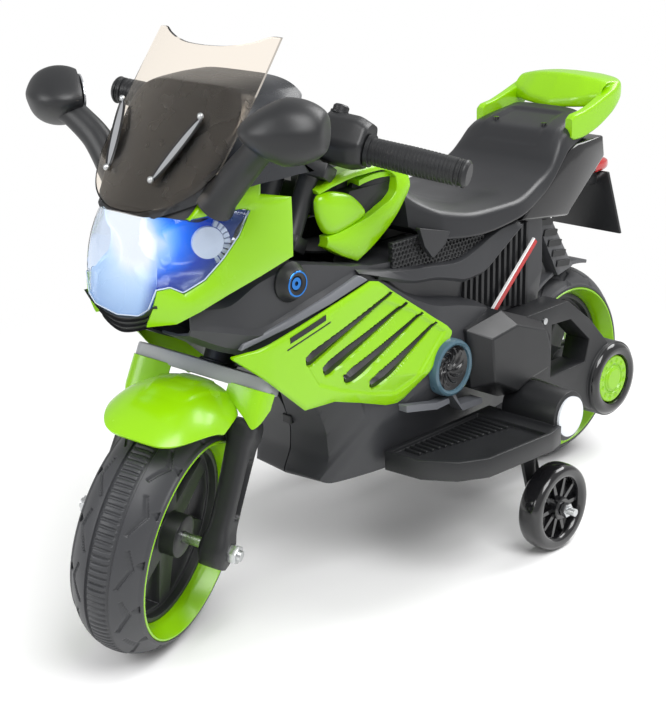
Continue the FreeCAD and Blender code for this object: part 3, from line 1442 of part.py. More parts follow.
node(feature("tail_light", loft([
    [V(x, y * w, S.lamp_low.value + (S.lamp_top.value - S.lamp_low.value) * (0.5 + t * w))
     for y, t in ((S.lamp_half.value, -0.5), (S.lamp_half.value, 0.5),
                  (-S.lamp_half.value, 0.5), (-S.lamp_half.value, -0.5))]
    for x, w in ((S.lamp_root.value, 1.0), (S.lamp_tip.value + 30.0, 0.9), (S.lamp_tip.value, 0.55))])))
holder = prism(both([(0.0, S.plate_low.value), (S.plate_low_w.value, S.plate_low.value),
                     (S.plate_high_w.value, S.plate_high.value), (0.0, S.plate_high.value)]), "x",
               S.plate_back.value, S.plate_back.value + S.plate_wall.value)
bracket = near((S.plate_back.value, S.bracket_front.value, -S.bracket_half.value, S.bracket_half.value,
                S.bracket_low.value, S.bracket_high.value))
bracket = bracket.cut(prism(tail_points, "y", -half, half))
node(feature("number_plate", holder.fuse(bracket)))

# Inside the body: battery, control board, loudspeaker and leads.
node(block("battery", (S.cell_back, S.cell_front), (-S.cell_half, S.cell_half), (S.cell_low, S.cell_high)))
board_z = S.cell_high + S.seat_gap
node(block("control_board", (S.board_back, S.board_front), (-S.board_half, S.board_half),
           (board_z, board_z + S.board_len)))
speaker = rod("loudspeaker_drum", S.horn_r, S.horn_len, V(0, 0, 1))
place(speaker, S.horn_x, 0, S.horn_z)
node(group("loudspeaker", [speaker]))


def lead(points):
    """Round lead along a path of straight runs with rounded corners."""
    corners = [V(*p) for p in points]
    edges = []
    start = corners[0]
    for before, here, after in zip(corners, corners[1:], corners[2:]):
        bend = S.lead_bend.value
        a = here + (before - here).normalize() * bend
        b = here + (after - here).normalize() * bend
        turn_in = (before - here).normalize()
        turn_out = (after - here).normalize()
        angle = turn_in.getAngle(turn_out)
        radius = bend * math.tan(angle / 2)
        centre = here + (turn_in + turn_out).normalize() * (bend / math.cos(angle / 2))
        middle = centre + (here - centre).normalize() * radius
        edges.append(Part.makeLine(start, a))
        edges.append(Part.Arc(a, middle, b).toShape())
        start = b
    edges.append(Part.makeLine(start, corners[-1]))
    path = Part.Wire(edges)
    way = (corners[1] - corners[0]).normalize()
    ring = Part.Wire(Part.makeCircle(S.lead_r.value, corners[0], way))
    return path.makePipeShell([ring], True, False)


top = (board_z + S.board_len + S.seat_gap).value
node(group("wiring", [
    feature("lamp_lead", lead([(20.0, 24.0, top), (20.0, 24.0, 262.0), (150.0, 30.0, 300.0),
                               (222.0, 30.0, 318.0)])),
    feature("horn_lead", lead([(20.0, -12.0, top), (20.0, -12.0, 216.0), (68.0, -12.0, 216.0),
                               (68.0, -12.0, (S.horn_z + S.horn_len + S.seat_gap).value)])),
    feature("charge_lead", lead([(0.0, -20.0, top), (0.0, -20.0, 250.0), (24.0, -36.0, 296.0),
                                 (24.0, -57.6, 298.0)]))]))

screws = []
for name, side in (("left", 1), ("right", -1)):
    for z in (S.screw_low, S.screw_high):
        head = rod("arm_screw", S.screw_r, S.screw_len, V(0, side, 0))
        screws.append(place(head, S.screw_x, (S.arm_out + S.disc_gap) * side, z))
    for x in (S.train_x + S.strut_shift - 6, S.train_x + S.strut_shift + 6):
        head = rod("strut_screw", S.screw_r, S.screw_len, V(0, 0, -1))
        screws.append(place(head, x, (S.strut_y - S.strut_flange + 7) * side, S.strut_top - S.disc_gap))
node(group("body_screws", screws))

doc.recompute()
os.makedirs("parts", exist_ok=True)
for item in doc.Objects:
    if "Invalid" in item.State or "Error" in item.State:
        raise RuntimeError("not built: " + item.Label)
for item in NODES:
    shape = item.Shape
    if shape.isNull() or not shape.isValid():
        raise RuntimeError("shape not valid: " + item.Label)
    shape.exportStep("parts/%s.step" % item.Label)
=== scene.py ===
import json
import math

import bmesh
import bpy
import numpy as np
from mathutils import Matrix


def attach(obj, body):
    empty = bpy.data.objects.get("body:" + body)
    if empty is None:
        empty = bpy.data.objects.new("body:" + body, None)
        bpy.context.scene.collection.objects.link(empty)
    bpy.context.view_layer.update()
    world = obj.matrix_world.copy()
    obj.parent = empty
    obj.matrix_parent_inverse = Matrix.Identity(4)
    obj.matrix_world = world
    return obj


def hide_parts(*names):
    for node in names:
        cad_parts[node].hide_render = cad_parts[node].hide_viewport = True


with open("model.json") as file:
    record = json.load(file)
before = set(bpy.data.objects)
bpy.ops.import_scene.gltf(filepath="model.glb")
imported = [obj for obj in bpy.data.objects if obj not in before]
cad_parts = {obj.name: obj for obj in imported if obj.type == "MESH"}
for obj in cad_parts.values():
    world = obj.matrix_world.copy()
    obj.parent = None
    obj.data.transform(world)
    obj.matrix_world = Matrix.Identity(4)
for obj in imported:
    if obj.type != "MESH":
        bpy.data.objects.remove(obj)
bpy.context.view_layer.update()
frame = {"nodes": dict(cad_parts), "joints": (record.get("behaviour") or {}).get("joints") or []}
NODES = frame["nodes"]
JOINTS = {one["name"]: one for one in frame["joints"]}
SHIFT = np.array([4.463, 0.0, 0.0])   # mm, from the drawing's origin to the middle of the object


# Materials


def linear(code, alpha=1.0):
    """Linear colour of an sRGB hex code: a straight line near black, a power of 2.4 above it."""
    parts = [int(code[i:i + 2], 16) / 255.0 for i in (1, 3, 5)]
    return [c / 12.92 if c <= 0.04045 else ((c + 0.055) / 1.055) ** 2.4 for c in parts] + [alpha]


def add(tree, kind, settings=None, **inputs):
    """One shader node with its settings; an input is a value or another node's output socket."""
    made = tree.nodes.new(kind)
    for key, value in (settings or {}).items():
        setattr(made, key, value)
    for key, value in inputs.items():
        socket = made.inputs[key.replace("_", " ")]
        if isinstance(value, bpy.types.NodeSocket):
            tree.links.new(value, socket)
        else:
            socket.default_value = value
    return made


def new_material(name):
    """A material with an empty node tree, and that tree."""
    made = bpy.data.materials.new(name)
    made.use_nodes = True
    made.node_tree.nodes.clear()
    return made, made.node_tree


# Pattern sizes in mm: flow marks across a moulding; brush marks, really about 0.1 mm, drawn coarser to show;
# haze in a clear sheet
FLOW_MM, BRUSH_MM, HAZE_MM = 40.0, 10.0 / 7.0, 100.0 / 3.0


def plastic(name, colour, rough, grain_mm=0.7, grain_depth=0.03, coat=0.0, vary=0.08):
    """Moulded plastic: noise of the grain's size in mm as bump, a broad noise in the roughness. Mould grain is
    really about 0.2 mm; the sizes given are coarser, so that it shows."""
    made, tree = new_material(name)
    where = add(tree, "ShaderNodeTexCoord").outputs["Object"]
    fine = add(tree, "ShaderNodeTexNoise", Vector=where, Scale=1000.0 / grain_mm, Detail=2.0)
    bump = add(tree, "ShaderNodeBump", Strength=0.6, Distance=grain_depth / 1000.0,
               Height=fine.outputs["Fac"])
    broad = add(tree, "ShaderNodeTexNoise", Vector=where, Scale=1000.0 / FLOW_MM, Detail=3.0)
    level = add(tree, "ShaderNodeMapRange", Value=broad.outputs["Fac"], To_Min=rough - vary, To_Max=rough + vary)
    shade = add(tree, "ShaderNodeBsdfPrincipled", Base_Color=linear(colour), Roughness=level.outputs["Result"],
                Normal=bump.outputs["Normal"], Coat_Weight=coat, Coat_Roughness=0.08)
    add(tree, "ShaderNodeOutputMaterial", Surface=shade.outputs["BSDF"])
    return made


def metal(name, colour, rough):
    """Plated metal with a faint brushed noise in its roughness."""
    made, tree = new_material(name)
    where = add(tree, "ShaderNodeTexCoord").outputs["Object"]
    noise = add(tree, "ShaderNodeTexNoise", Vector=where, Scale=1000.0 / BRUSH_MM, Detail=2.0)
    level = add(tree, "ShaderNodeMapRange", Value=noise.outputs["Fac"], To_Min=rough * 0.7, To_Max=rough * 1.3)
    shade = add(tree, "ShaderNodeBsdfPrincipled", Base_Color=linear(colour), Metallic=1.0,
                Roughness=level.outputs["Result"])
    add(tree, "ShaderNodeOutputMaterial", Surface=shade.outputs["BSDF"])
    return made


def clear(name, colour, rough):
    """Clear sheet: full transmission with a faint tint and a trace of haze in its roughness."""
    made, tree = new_material(name)
    where = add(tree, "ShaderNodeTexCoord").outputs["Object"]
    haze = add(tree, "ShaderNodeTexNoise", Vector=where, Scale=1000.0 / HAZE_MM, Detail=2.0)
    level = add(tree, "ShaderNodeMapRange", Value=haze.outputs["Fac"], To_Min=rough * 0.5, To_Max=rough * 1.5)
    shade = add(tree, "ShaderNodeBsdfPrincipled", Base_Color=linear(colour), Roughness=level.outputs["Result"],
                Transmission_Weight=1.0, IOR=1.3)
    add(tree, "ShaderNodeOutputMaterial", Surface=shade.outputs["BSDF"])
    return made


def lit(name, centre_mm, bands, dark_bands, turn_mm):
    """Lit lamp inside: light falls off with the distance from the lamp, from white to pale blue on one side
    and through strong blue to navy on the other; bands are (distance in mm, colour, strength)."""
    made, tree = new_material(name)
    where = add(tree, "ShaderNodeTexCoord").outputs["Object"]
    spot = [c / 1000.0 for c in np.array(centre_mm) + SHIFT]
    reach = add(tree, "ShaderNodeVectorMath", {"operation": "DISTANCE"})
    tree.links.new(where, reach.inputs[0])
    reach.inputs[1].default_value = spot
    ramps = []
    for stops in (bands, dark_bands):
        far = stops[-1][0]
        scale = add(tree, "ShaderNodeMapRange", Value=reach.outputs["Value"], From_Min=0.0, From_Max=far / 1000.0)
        ramp = add(tree, "ShaderNodeValToRGB", Fac=scale.outputs["Result"])
        while len(ramp.color_ramp.elements) < len(stops):
            ramp.color_ramp.elements.new(0.5)
        for stop, (distance, colour, strength) in zip(ramp.color_ramp.elements, stops):
            stop.position = distance / far
            stop.color = [c * strength for c in linear(colour)[:3]] + [1.0]
        ramps.append(ramp.outputs["Color"])
    place = add(tree, "ShaderNodeSeparateXYZ", Vector=where)
    side = add(tree, "ShaderNodeMapRange", {"interpolation_type": "SMOOTHSTEP"}, Value=place.outputs["Y"],
               From_Min=turn_mm[0] / 1000.0, From_Max=turn_mm[1] / 1000.0)
    both = add(tree, "ShaderNodeMix", {"data_type": "RGBA"})
    tree.links.new(side.outputs["Result"], both.inputs[0])
    tree.links.new(ramps[0], both.inputs[6])
    tree.links.new(ramps[1], both.inputs[7])
    shade = add(tree, "ShaderNodeBsdfPrincipled", Base_Color=linear("#20262f"), Roughness=0.25,
                Emission_Color=both.outputs[2], Emission_Strength=1.0)
    add(tree, "ShaderNodeOutputMaterial", Surface=shade.outputs["BSDF"])
    return made


# Coloured in the mould and left smooth: a saturated lime with a soft, clear shine
LIME = plastic("lime_injection_moulded_plastic", "#88c300", 0.26, 1.5, 0.008, coat=0.12, vary=0.04)
# Grained mould: light scatters, so the black is satin and its edges read grey
BLACK = plastic("black_grained_moulded_plastic", "#1d1e20", 0.42, 0.6, 0.04)
# The same grain in a lighter dye: shells part from the blacker pieces in front of them
DARK = plastic("dark_grey_grained_moulded_plastic", "#2e2f32", 0.42, 0.6, 0.04)
# Smooth mould, grey dye: a plain pale edge
GREY = plastic("grey_moulded_plastic", "#9a9ca0", 0.4, 0.8, 0.02)
# Coarse leather grain in the mould: small dull glints all over the seat
SEAT = plastic("black_leather_grain_moulded_plastic", "#212225", 0.38, 1.6, 0.16)
# Hard tread, finely grained: greyer and duller than the body, so that its pattern reads
TYRE = plastic("black_hard_plastic_tread", "#343538", 0.46, 0.8, 0.04)
# Mould polished bright: sharp white reflections on black
GLOSS = plastic("polished_black_plastic", "#161618", 0.14, 2.0, 0.005, coat=0.4, vary=0.04)
# Bright film pressed on plastic: an even silver shine
SILVER = plastic("bright_silver_film_on_plastic", "#dfe3e8", 0.22, 2.0, 0.004, vary=0.03)
# Clear red resin: deep red with a small sharp highlight
RED = plastic("red_clear_moulded_plastic", "#b01818", 0.2, 2.0, 0.005, coat=0.3, vary=0.03)
# Ink printed on film: flat white
WHITE = plastic("white_printed_film", "#e8e8e8", 0.35, 2.0, 0.004, vary=0.03)
# Dyed metal film: a blue glint
BLUE = metal("blue_anodised_film", "#3f86d8", 0.22)
# Zinc plated dull on steel: pale metal with broken reflections
ZINC = metal("zinc_plated_steel", "#c3c5c6", 0.3)
# Chromed film: nearly a mirror
CHROME = metal("chromed_film", "#e2e4e8", 0.08)
# Satin mould, blue-grey dye: a cool ring with a soft shine
STEEL_BLUE = plastic("blue_grey_satin_plastic", "#45616f", 0.3, 1.0, 0.01, coat=0.3)
# Smooth mould, grey dye: a mid tone between black shells and lime panels
MID = plastic("mid_grey_moulded_plastic", "#66686d", 0.36, 0.8, 0.02)
# Fine satin mould: a dark dome with one broad highlight
HOOD = plastic("satin_black_moulded_plastic", "#1b1e23", 0.28, 1.2, 0.02, coat=0.2, vary=0.05)
# Grained mould, grey dye: a dull guard over the wheel
BAND = plastic("grey_grained_moulded_plastic", "#4f5053", 0.42, 0.8, 0.03)
# Deep black: black bars in the slots, darkened past the other black plastics as painted shade so that they read as
# openings; the same black serves the printed stripes and the bracket edges
DEEP_BLACK_AND_SHADE = plastic("deep_black_plastic_and_painted_slot_shade", "#111113", 0.36, 0.8, 0.02)
# Painted highlight: a pale line for the light that gathers in the edge of the clear lens moulding
LENS_EDGE_HIGHLIGHT = plastic("painted_highlight_lens_edge", "#b9c6d8", 0.25, 2.0, 0.004, vary=0.03)
# Silvered by vapour: a bright disc
DISC = plastic("silvered_lamp_reflector", "#f4f6fa", 0.18, 2.0, 0.004, vary=0.03)
# Sheet heated over a form: clear, with a trace of amber where it is seen along its face
SHEET = clear("amber_tinted_thermoformed_sheet", "#fff6ea", 0.02)
# Clear moulding: the lamp shows through it, with sharp highlights on top
LENS = clear("clear_moulded_lamp_lens", "#eef5ff", 0.03)
# Silvered bowl lit from inside: white at the lamp, blue round it, navy at the far end
GLOW = lit("lit_silvered_lamp_bowl", (296.0, 4.0, 391.0), [
    (0.0, "#ffffff", 1.0), (28.0, "#ffffff", 1.0), (40.0, "#d4eaff", 1.0), (56.0, "#bcdafa", 0.95),
    (76.0, "#9dbfec", 0.85), (110.0, "#86a8da", 0.75)], [
    (0.0, "#ffffff", 1.0), (22.0, "#f2faff", 1.0), (31.0, "#4fb8ff", 1.0), (42.0, "#1878ff", 0.95),
    (56.0, "#2a50d0", 0.6), (74.0, "#2c4690", 0.45), (110.0, "#39435c", 0.4)], (20.0, 42.0))


# Mesh tools; all lengths are millimetres in the drawing's frame


WELD_M, SPECK_M = 1e-6, 1e-7               # metres: points this close are one, and shorter edges go
EDGE_ANGLE, SOLID_EDGE_ANGLE = 38.0, 32.0   # degrees: sharper edges of a mesh or a solid are rounded


def soften(item, width, angle):
    """Two-step bevel, width in mm, on the edges that are sharper than an angle in degrees."""
    edge = item.modifiers.new("edge", "BEVEL")
    edge.width = width / 1000.0
    edge.segments = 2
    edge.limit_method = "ANGLE"
    edge.angle_limit = math.radians(angle)


def mesh(name, part, material, body, stands_for=(), sharp=35.0, place=None, bevel=0.0):
    """A closed piece from (points in mm, faces), with normals turned outwards; it rides on a body and
    may stand for CAD nodes. bevel rounds its sharp edges."""
    points, faces = part
    points = np.asarray(points, float).reshape(-1, 3)
    if place is not None:
        points = points @ place[:3, :3].T + place[:3, 3]
    data = bpy.data.meshes.new(name)
    data.from_pydata(((points + SHIFT) / 1000.0).tolist(), [], [list(map(int, f)) for f in faces])
    data.materials.append(material)
    tidy = bmesh.new()
    tidy.from_mesh(data)
    bmesh.ops.remove_doubles(tidy, verts=tidy.verts, dist=WELD_M)
    bmesh.ops.dissolve_degenerate(tidy, edges=tidy.edges, dist=SPECK_M)
    bmesh.ops.recalc_face_normals(tidy, faces=tidy.faces)
    tidy.to_mesh(data)
    tidy.free()
    data.polygons.foreach_set("use_smooth", np.ones(len(data.polygons), bool))
    data.set_sharp_from_angle(angle=math.radians(sharp))
    made = bpy.data.objects.new(name, data)
    bpy.context.scene.collection.objects.link(made)
    if bevel:
        soften(made, bevel, EDGE_ANGLE)
    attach(made, body)
    if stands_for:
        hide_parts(*stands_for)
    return made


def dress(node, material, bevel=0.0):
    """Gives a CAD node a material and, with bevel in mm, moulded edge radii."""
    item = NODES[node]
    item.data.materials.clear()
    item.data.materials.append(material)
    if bevel:
        own = item.data.attributes.get("custom_normal")
        if own:
            item.data.attributes.remove(own)
        weld = item.modifiers.new("weld", "WELD")
        weld.merge_threshold = WELD_M
        soften(item, bevel, SOLID_EDGE_ANGLE)
        item.data.polygons.foreach_set("use_smooth", np.ones(len(item.data.polygons), bool))


def quads(nu, nv, wrap_u=False, wrap_v=False):
    """Faces of a grid of nu by nv points, joined end to end in a direction that wraps."""
    a, b = np.meshgrid(np.arange(nu - (not wrap_u)), np.arange(nv - (not wrap_v)), indexing="ij")
    c, d = (a + 1) % nu, (b + 1) % nv
    return np.stack([a * nv + b, c * nv + b, c * nv + d, a * nv + d], -1).reshape(-1, 4).tolist()


def slab(front, back):
    """Closed plate: two grids of equal size joined round their borders."""
    nu, nv = front.shape[:2]
    number = np.arange(nu * nv).reshape(nu, nv)
    rim = np.concatenate([number[0, :-1], number[:-1, -1], number[-1, :0:-1], number[:0:-1, 0]])
    after = np.roll(rim, -1)
    total = nu * nv
    faces = quads(nu, nv)
    faces += (np.array(quads(nu, nv))[:, ::-1] + total).tolist()
    faces += np.stack([rim, after, after + total, rim + total], 1).tolist()
    return np.concatenate([front.reshape(-1, 3), back.reshape(-1, 3)]), faces


def skin(rings):
    """Closed form through rings of equal count, with a flat face at each end."""
    n, m = rings.shape[:2]
    faces = quads(n, m, False, True) + [list(range(m)), list(range((n - 1) * m, n * m))]
    return rings.reshape(-1, 3), faces


def hoop(rings):
    """Closed ring: profile points carried round and joined in both directions."""
    n, m = rings.shape[:2]
    return rings.reshape(-1, 3), quads(n, m, True, True)


def circle(count):
    """Angles of a full turn in even steps."""
    return np.linspace(0, 2 * np.pi, count, endpoint=False)


def square(wave, power):
    """A sine or cosine raised to a power with its sign kept, which squares off a round section."""
    return np.sign(wave) * np.abs(wave) ** power


def whole(half):
    """A left half, given from the middle out, with its mirror image put before it."""
    return np.concatenate([half[:0:-1] * [1, -1, 1], half])


def plate(x, y, back, z):
    """Closed plate over places x and z of the side view, with outer face y and inner face back."""
    return slab(np.stack([x, y, z], -1), np.stack([x, 0 * y + back, z], -1))


def side_view(points):
    """Points (x, z) with a third column of zeros."""
    return np.c_[points, np.zeros(len(points))]


def join(*parts):
    """Several parts as one."""
    points, faces, count = [], [], 0
    for p, f in parts:
        p = np.asarray(p, float).reshape(-1, 3)
        points.append(p)
        faces += [[i + count for i in one] for one in f]
        count += len(p)
    return np.concatenate(points), faces


def other_side(part):
    """The part mirrored across the middle plane."""
    return np.asarray(part[0], float).reshape(-1, 3) * [1.0, -1.0, 1.0], part[1]


def sides(part):
    """The part and its mirror image as one."""
    return join(part, other_side(part))


def smooth(at, xs, ys):
    """Cubic Hermite through table columns; tangents are harmonic means, so it doesn't overshoot."""
    xs, ys = np.asarray(xs, float), np.asarray(ys, float)
    if xs[0] > xs[-1]:
        xs, ys = xs[::-1], ys[::-1]
    ys = ys.reshape(len(xs), -1)
    gap = np.diff(xs)[:, None]
    slope = np.diff(ys, axis=0) / gap
    inner = slope[:-1] * slope[1:]
    with np.errstate(divide="ignore", invalid="ignore"):
        mean = np.where(inner > 0, 2.0 * inner / (slope[:-1] + slope[1:]), 0.0)
    tangent = np.concatenate([slope[:1], mean, slope[-1:]])
    at = np.clip(np.asarray(at, float), xs[0], xs[-1])
    k = np.clip(np.searchsorted(xs, at, side="right") - 1, 0, len(xs) - 2)
    h = gap[k]
    t = ((at - xs[k])[..., None]) / h
    return ((2 * t ** 3 - 3 * t ** 2 + 1) * ys[k] + (t ** 3 - 2 * t ** 2 + t) * h * tangent[k]
            + (3 * t ** 2 - 2 * t ** 3) * ys[k + 1] + (t ** 3 - t ** 2) * h * tangent[k + 1])


def along(points, count):
    """A polyline's corners kept, each run divided so that there are about count points in all."""
    points = np.asarray(points, float)
    return np.stack([np.interp(np.linspace(0, len(points) - 1, count), np.arange(len(points)), points[:, k])
                     for k in range(points.shape[1])], 1)


def bowed(points, count):
    """A smooth curve through points, even in the point number."""
    points = np.asarray(points, float)
    return smooth(np.linspace(0, len(points) - 1, count), np.arange(len(points)), points)


def facing(grid):
    """Unit normals of a grid, from the cross product of its two directions."""
    normal = np.cross(np.gradient(grid, axis=0), np.gradient(grid, axis=1))
    size = np.linalg.norm(normal, axis=-1, keepdims=True)
    mean = normal.reshape(-1, 3).mean(0)
    return np.where(size > 1e-6, normal / np.maximum(size, 1e-9), mean / np.linalg.norm(mean))


def ruled(edge_a, edge_b, across, bulge=0.0):
    """Grid of straight lines between two edges, raised in the middle by bulge along its normals."""
    t = np.linspace(0.0, 1.0, across)[None, :, None]
    grid = edge_a[:, None] * (1 - t) + edge_b[:, None] * t
    return grid + facing(grid) * bulge * (4 * t * (1 - t)) if bulge else grid


def rounded(corners, radius, steps=5):
    """Closed outlines, batch by corner by 2, whose corners become parabola arcs of about that radius."""
    before, after = np.roll(corners, 1, axis=-2) - corners, np.roll(corners, -1, axis=-2) - corners
    a = corners + before * np.minimum(radius / np.linalg.norm(before, axis=-1, keepdims=True), 0.48)
    b = corners + after * np.minimum(radius / np.linalg.norm(after, axis=-1, keepdims=True), 0.48)
    t = np.linspace(0, 1, steps)[:, None]
    arcs = a[..., None, :] * (1 - t) ** 2 + 2 * corners[..., None, :] * t * (1 - t) + b[..., None, :] * t ** 2
    return arcs.reshape(*corners.shape[:-2], -1, 2)


def turned(profile, count=64):
    """Profile (radius, length along the axis) turned about Y; radius 0 at both ends closes it."""
    angle = circle(count)
    profile = np.asarray(profile, float)
    r, y = profile[:, 0], profile[:, 1]
    return np.stack([np.cos(angle)[:, None] * r, np.broadcast_to(y, (count, len(r))),
                     np.sin(angle)[:, None] * r], -1)


def turned_solid(profile, count=64):
    """Turned piece; a closed profile makes a ring, one that starts and ends on the axis a solid."""
    ring = turned(profile, count)
    n, m = ring.shape[:2]
    if profile[0][0] > 0:
        return hoop(ring)
    return ring.reshape(-1, 3), quads(n, m, True, False)


def tube(path, radius, count=16):
    """Round tube along a path of points, with flat ends; radius may change along it."""
    path = np.asarray(path, float)
    way = np.gradient(path, axis=0)
    way /= np.linalg.norm(way, axis=1, keepdims=True)
    lead = np.array([0.0, 0.0, 1.0]) if abs(way[0, 2]) < 0.9 else np.array([1.0, 0.0, 0.0])
    side = np.cross(way, lead)
    side /= np.linalg.norm(side, axis=1, keepdims=True)
    head = np.cross(side, way)
    angle = circle(count)
    radius = np.broadcast_to(np.asarray(radius, float), (len(path),))[:, None, None]
    rings = path[:, None] + radius * (np.cos(angle)[None, :, None] * side[:, None]
                                      + np.sin(angle)[None, :, None] * head[:, None])
    return skin(rings)


def step(distance, width):
    """0 outside, 1 inside, with a smooth ramp of the given width centred on distance 0."""
    t = np.clip(0.5 - distance / width, 0, 1)
    return t * t * (3 - 2 * t)


def outside(px, pz, corners):
    """Signed distance from a closed outline: the shortest way to any side, below zero where a line to the
    right crosses an odd number of sides."""
    corners = np.asarray(corners, float)
    after = np.roll(corners, -1, axis=0)
    p = np.stack([px, pz], -1)[..., None, :]
    run = after - corners
    t = np.clip(((p - corners) * run).sum(-1) / (run * run).sum(-1), 0, 1)
    near = np.linalg.norm(p - corners - t[..., None] * run, axis=-1).min(-1)
    cross = (corners[:, 1] > pz[..., None]) != (after[:, 1] > pz[..., None])
    with np.errstate(divide="ignore", invalid="ignore"):
        hit = run[:, 0] * (pz[..., None] - corners[:, 1]) / run[:, 1] + corners[:, 0]
    odd = (cross & (px[..., None] < hit)).sum(-1) % 2 == 1
    return np.where(odd, -near, near)


# Places of the moving bodies, taken from the joints


def base(origin, x_axis, z_axis):
    """Placement with its origin on a joint, Z along one axis and X as near another as a right angle allows."""
    made = np.eye(4)
    z_axis = np.asarray(z_axis, float) / np.linalg.norm(z_axis)
    y_axis = np.cross(z_axis, x_axis)
    y_axis /= np.linalg.norm(y_axis)
    made[:3, 0], made[:3, 1], made[:3, 2] = np.cross(y_axis, z_axis), y_axis, z_axis
    made[:3, 3] = np.array(origin, float) * 1000.0 - SHIFT
    return made


steer_up = np.array(JOINTS["steer"]["axis"])
wheel_axis = np.array(JOINTS["front_wheel_spin"]["axis"])
FORK = base(JOINTS["steer"]["pos_m"], np.cross(wheel_axis, steer_up), steer_up)
FRONT = base(JOINTS["front_wheel_spin"]["pos_m"], np.cross(wheel_axis, steer_up), steer_up)
REAR = base(JOINTS["rear_wheel_spin"]["pos_m"], (1.0, 0.0, 0.0), (0.0, 0.0, 1.0))
TRAIN = [base(JOINTS["training_spin_" + side]["pos_m"], (1.0, 0.0, 0.0), (0.0, 0.0, 1.0))
         for side in ("left", "right")]


# Camera, light and floor

CAMERA_AT = (1099.1, 1000.4, 710.0)   # mm
LOOK = tuple(math.radians(a) for a in (43.81, 19.07, -1.24))   # turn from +X, tilt down, roll
FOCAL = 1533.37 / 666.0               # focal length over the image width
SENSOR = 36.0                         # mm


def camera():
    """Camera at its spot, looking along the turn and tilt, then rolled about its own line of sight."""
    turn, tilt, roll = LOOK
    forward = np.array([-math.cos(tilt) * math.cos(turn), -math.cos(tilt) * math.sin(turn), -math.sin(tilt)])
    right = np.cross(forward, [0.0, 0.0, 1.0])
    right /= np.linalg.norm(right)
    up = np.cross(right, forward)
    pose = np.eye(4)
    pose[:3, 0] = math.cos(roll) * right + math.sin(roll) * up
    pose[:3, 1] = -math.sin(roll) * right + math.cos(roll) * up
    pose[:3, 2] = -forward
    pose[:3, 3] = (np.array(CAMERA_AT) + SHIFT) / 1000.0
    data = bpy.data.cameras.new("camera")
    data.sensor_fit = "HORIZONTAL"
    data.sensor_width = SENSOR
    data.lens = FOCAL * SENSOR
    data.clip_start = 0.05
    made = bpy.data.objects.new("camera", data)
    bpy.context.scene.collection.objects.link(made)
    made.matrix_world = Matrix(pose.tolist())
    bpy.context.scene.camera = made


def lamp(name, spot, aim, size, power):
    """Soft box at a spot, facing a point, both in metres."""
    data = bpy.data.lights.new(name, "AREA")
    data.shape = "RECTANGLE"
    data.size, data.size_y = size
    data.energy = power
    made = bpy.data.objects.new(name, data)
    bpy.context.scene.collection.objects.link(made)
    back = np.array(spot, float) - np.array(aim, float)
    back /= np.linalg.norm(back)
    side = np.cross([0.0, 0.0, 1.0], back)
    side /= np.linalg.norm(side)
    pose = np.eye(4)
    pose[:3, 0], pose[:3, 1], pose[:3, 2], pose[:3, 3] = side, np.cross(back, side), back, spot
    made.matrix_world = Matrix(pose.tolist())


def seen_rays(tree):
    """1 for rays from the camera, also after a mirror or clear surface."""
    path = add(tree, "ShaderNodeLightPath")
    first = add(tree, "ShaderNodeMath", {"operation": "MAXIMUM"})
    tree.links.new(path.outputs["Is Camera Ray"], first.inputs[0])
    tree.links.new(path.outputs["Is Glossy Ray"], first.inputs[1])
    both = add(tree, "ShaderNodeMath", {"operation": "MAXIMUM"})
    tree.links.new(first.outputs[0], both.inputs[0])
    tree.links.new(path.outputs["Is Transmission Ray"], both.inputs[1])
    return both.outputs[0]


def mixed(tree, amount, first, second):
    """Two shaders blended by an amount."""
    made = add(tree, "ShaderNodeMixShader", Fac=amount)
    tree.links.new(first.outputs[0], made.inputs[1])
    tree.links.new(second.outputs[0], made.inputs[2])
    return made


FLOOR_HALF, FLOOR_FADE = 6, (0.3, 0.95)   # metres: half the floor's side; where it turns to pure white
WHITE_LIGHT = (1.0, 1.0, 1.0, 1.0)


def studio():
    """White room: soft world light, a paper floor that turns pure white away from the object."""
    world = bpy.data.worlds.new("studio")
    world.use_nodes = True
    tree = world.node_tree
    tree.nodes.clear()
    soft = add(tree, "ShaderNodeBackground", Color=WHITE_LIGHT, Strength=0.55)
    white = add(tree, "ShaderNodeBackground", Color=WHITE_LIGHT, Strength=1.0)
    both = mixed(tree, add(tree, "ShaderNodeLightPath").outputs["Is Camera Ray"], soft, white)
    add(tree, "ShaderNodeOutputWorld", Surface=both.outputs[0])
    bpy.context.scene.world = world

    paint, tree = new_material("white_paper_floor")
    where = add(tree, "ShaderNodeTexCoord").outputs["Object"]
    reach = add(tree, "ShaderNodeVectorMath", {"operation": "LENGTH"})
    tree.links.new(where, reach.inputs[0])
    fade = add(tree, "ShaderNodeMapRange", {"interpolation_type": "SMOOTHSTEP"}, Value=reach.outputs["Value"],
               From_Min=FLOOR_FADE[0], From_Max=FLOOR_FADE[1])
    amount = add(tree, "ShaderNodeMath", {"operation": "MULTIPLY"})
    tree.links.new(fade.outputs["Result"], amount.inputs[0])
    tree.links.new(seen_rays(tree), amount.inputs[1])
    paper = add(tree, "ShaderNodeBsdfDiffuse", Color=(0.95, 0.95, 0.95, 1.0))
    plain = add(tree, "ShaderNodeEmission", Color=WHITE_LIGHT, Strength=1.0)
    add(tree, "ShaderNodeOutputMaterial", Surface=mixed(tree, amount.outputs[0], paper, plain).outputs[0])
    data = bpy.data.meshes.new("floor")
    data.from_pydata([(FLOOR_HALF * x, FLOOR_HALF * y, 0) for x, y in ((-1, -1), (1, -1), (1, 1), (-1, 1))], [],
                     [(0, 1, 2, 3)])
    data.materials.append(paint)
    floor = bpy.data.objects.new("floor", data)
    bpy.context.scene.collection.objects.link(floor)
    lamp("key", (0.5, 1.3, 2.0), (0.0, 0.0, 0.25), (1.3, 1.3), 40.0)
    lamp("front", (1.9, -0.5, 1.2), (0.1, 0.0, 0.3), (0.9, 1.3), 18.0)
    lamp("rear", (-1.5, 0.3, 1.7), (0.0, 0.0, 0.35), (1.2, 1.0), 26.0)
    bpy.context.scene.view_settings.view_transform = "Standard"


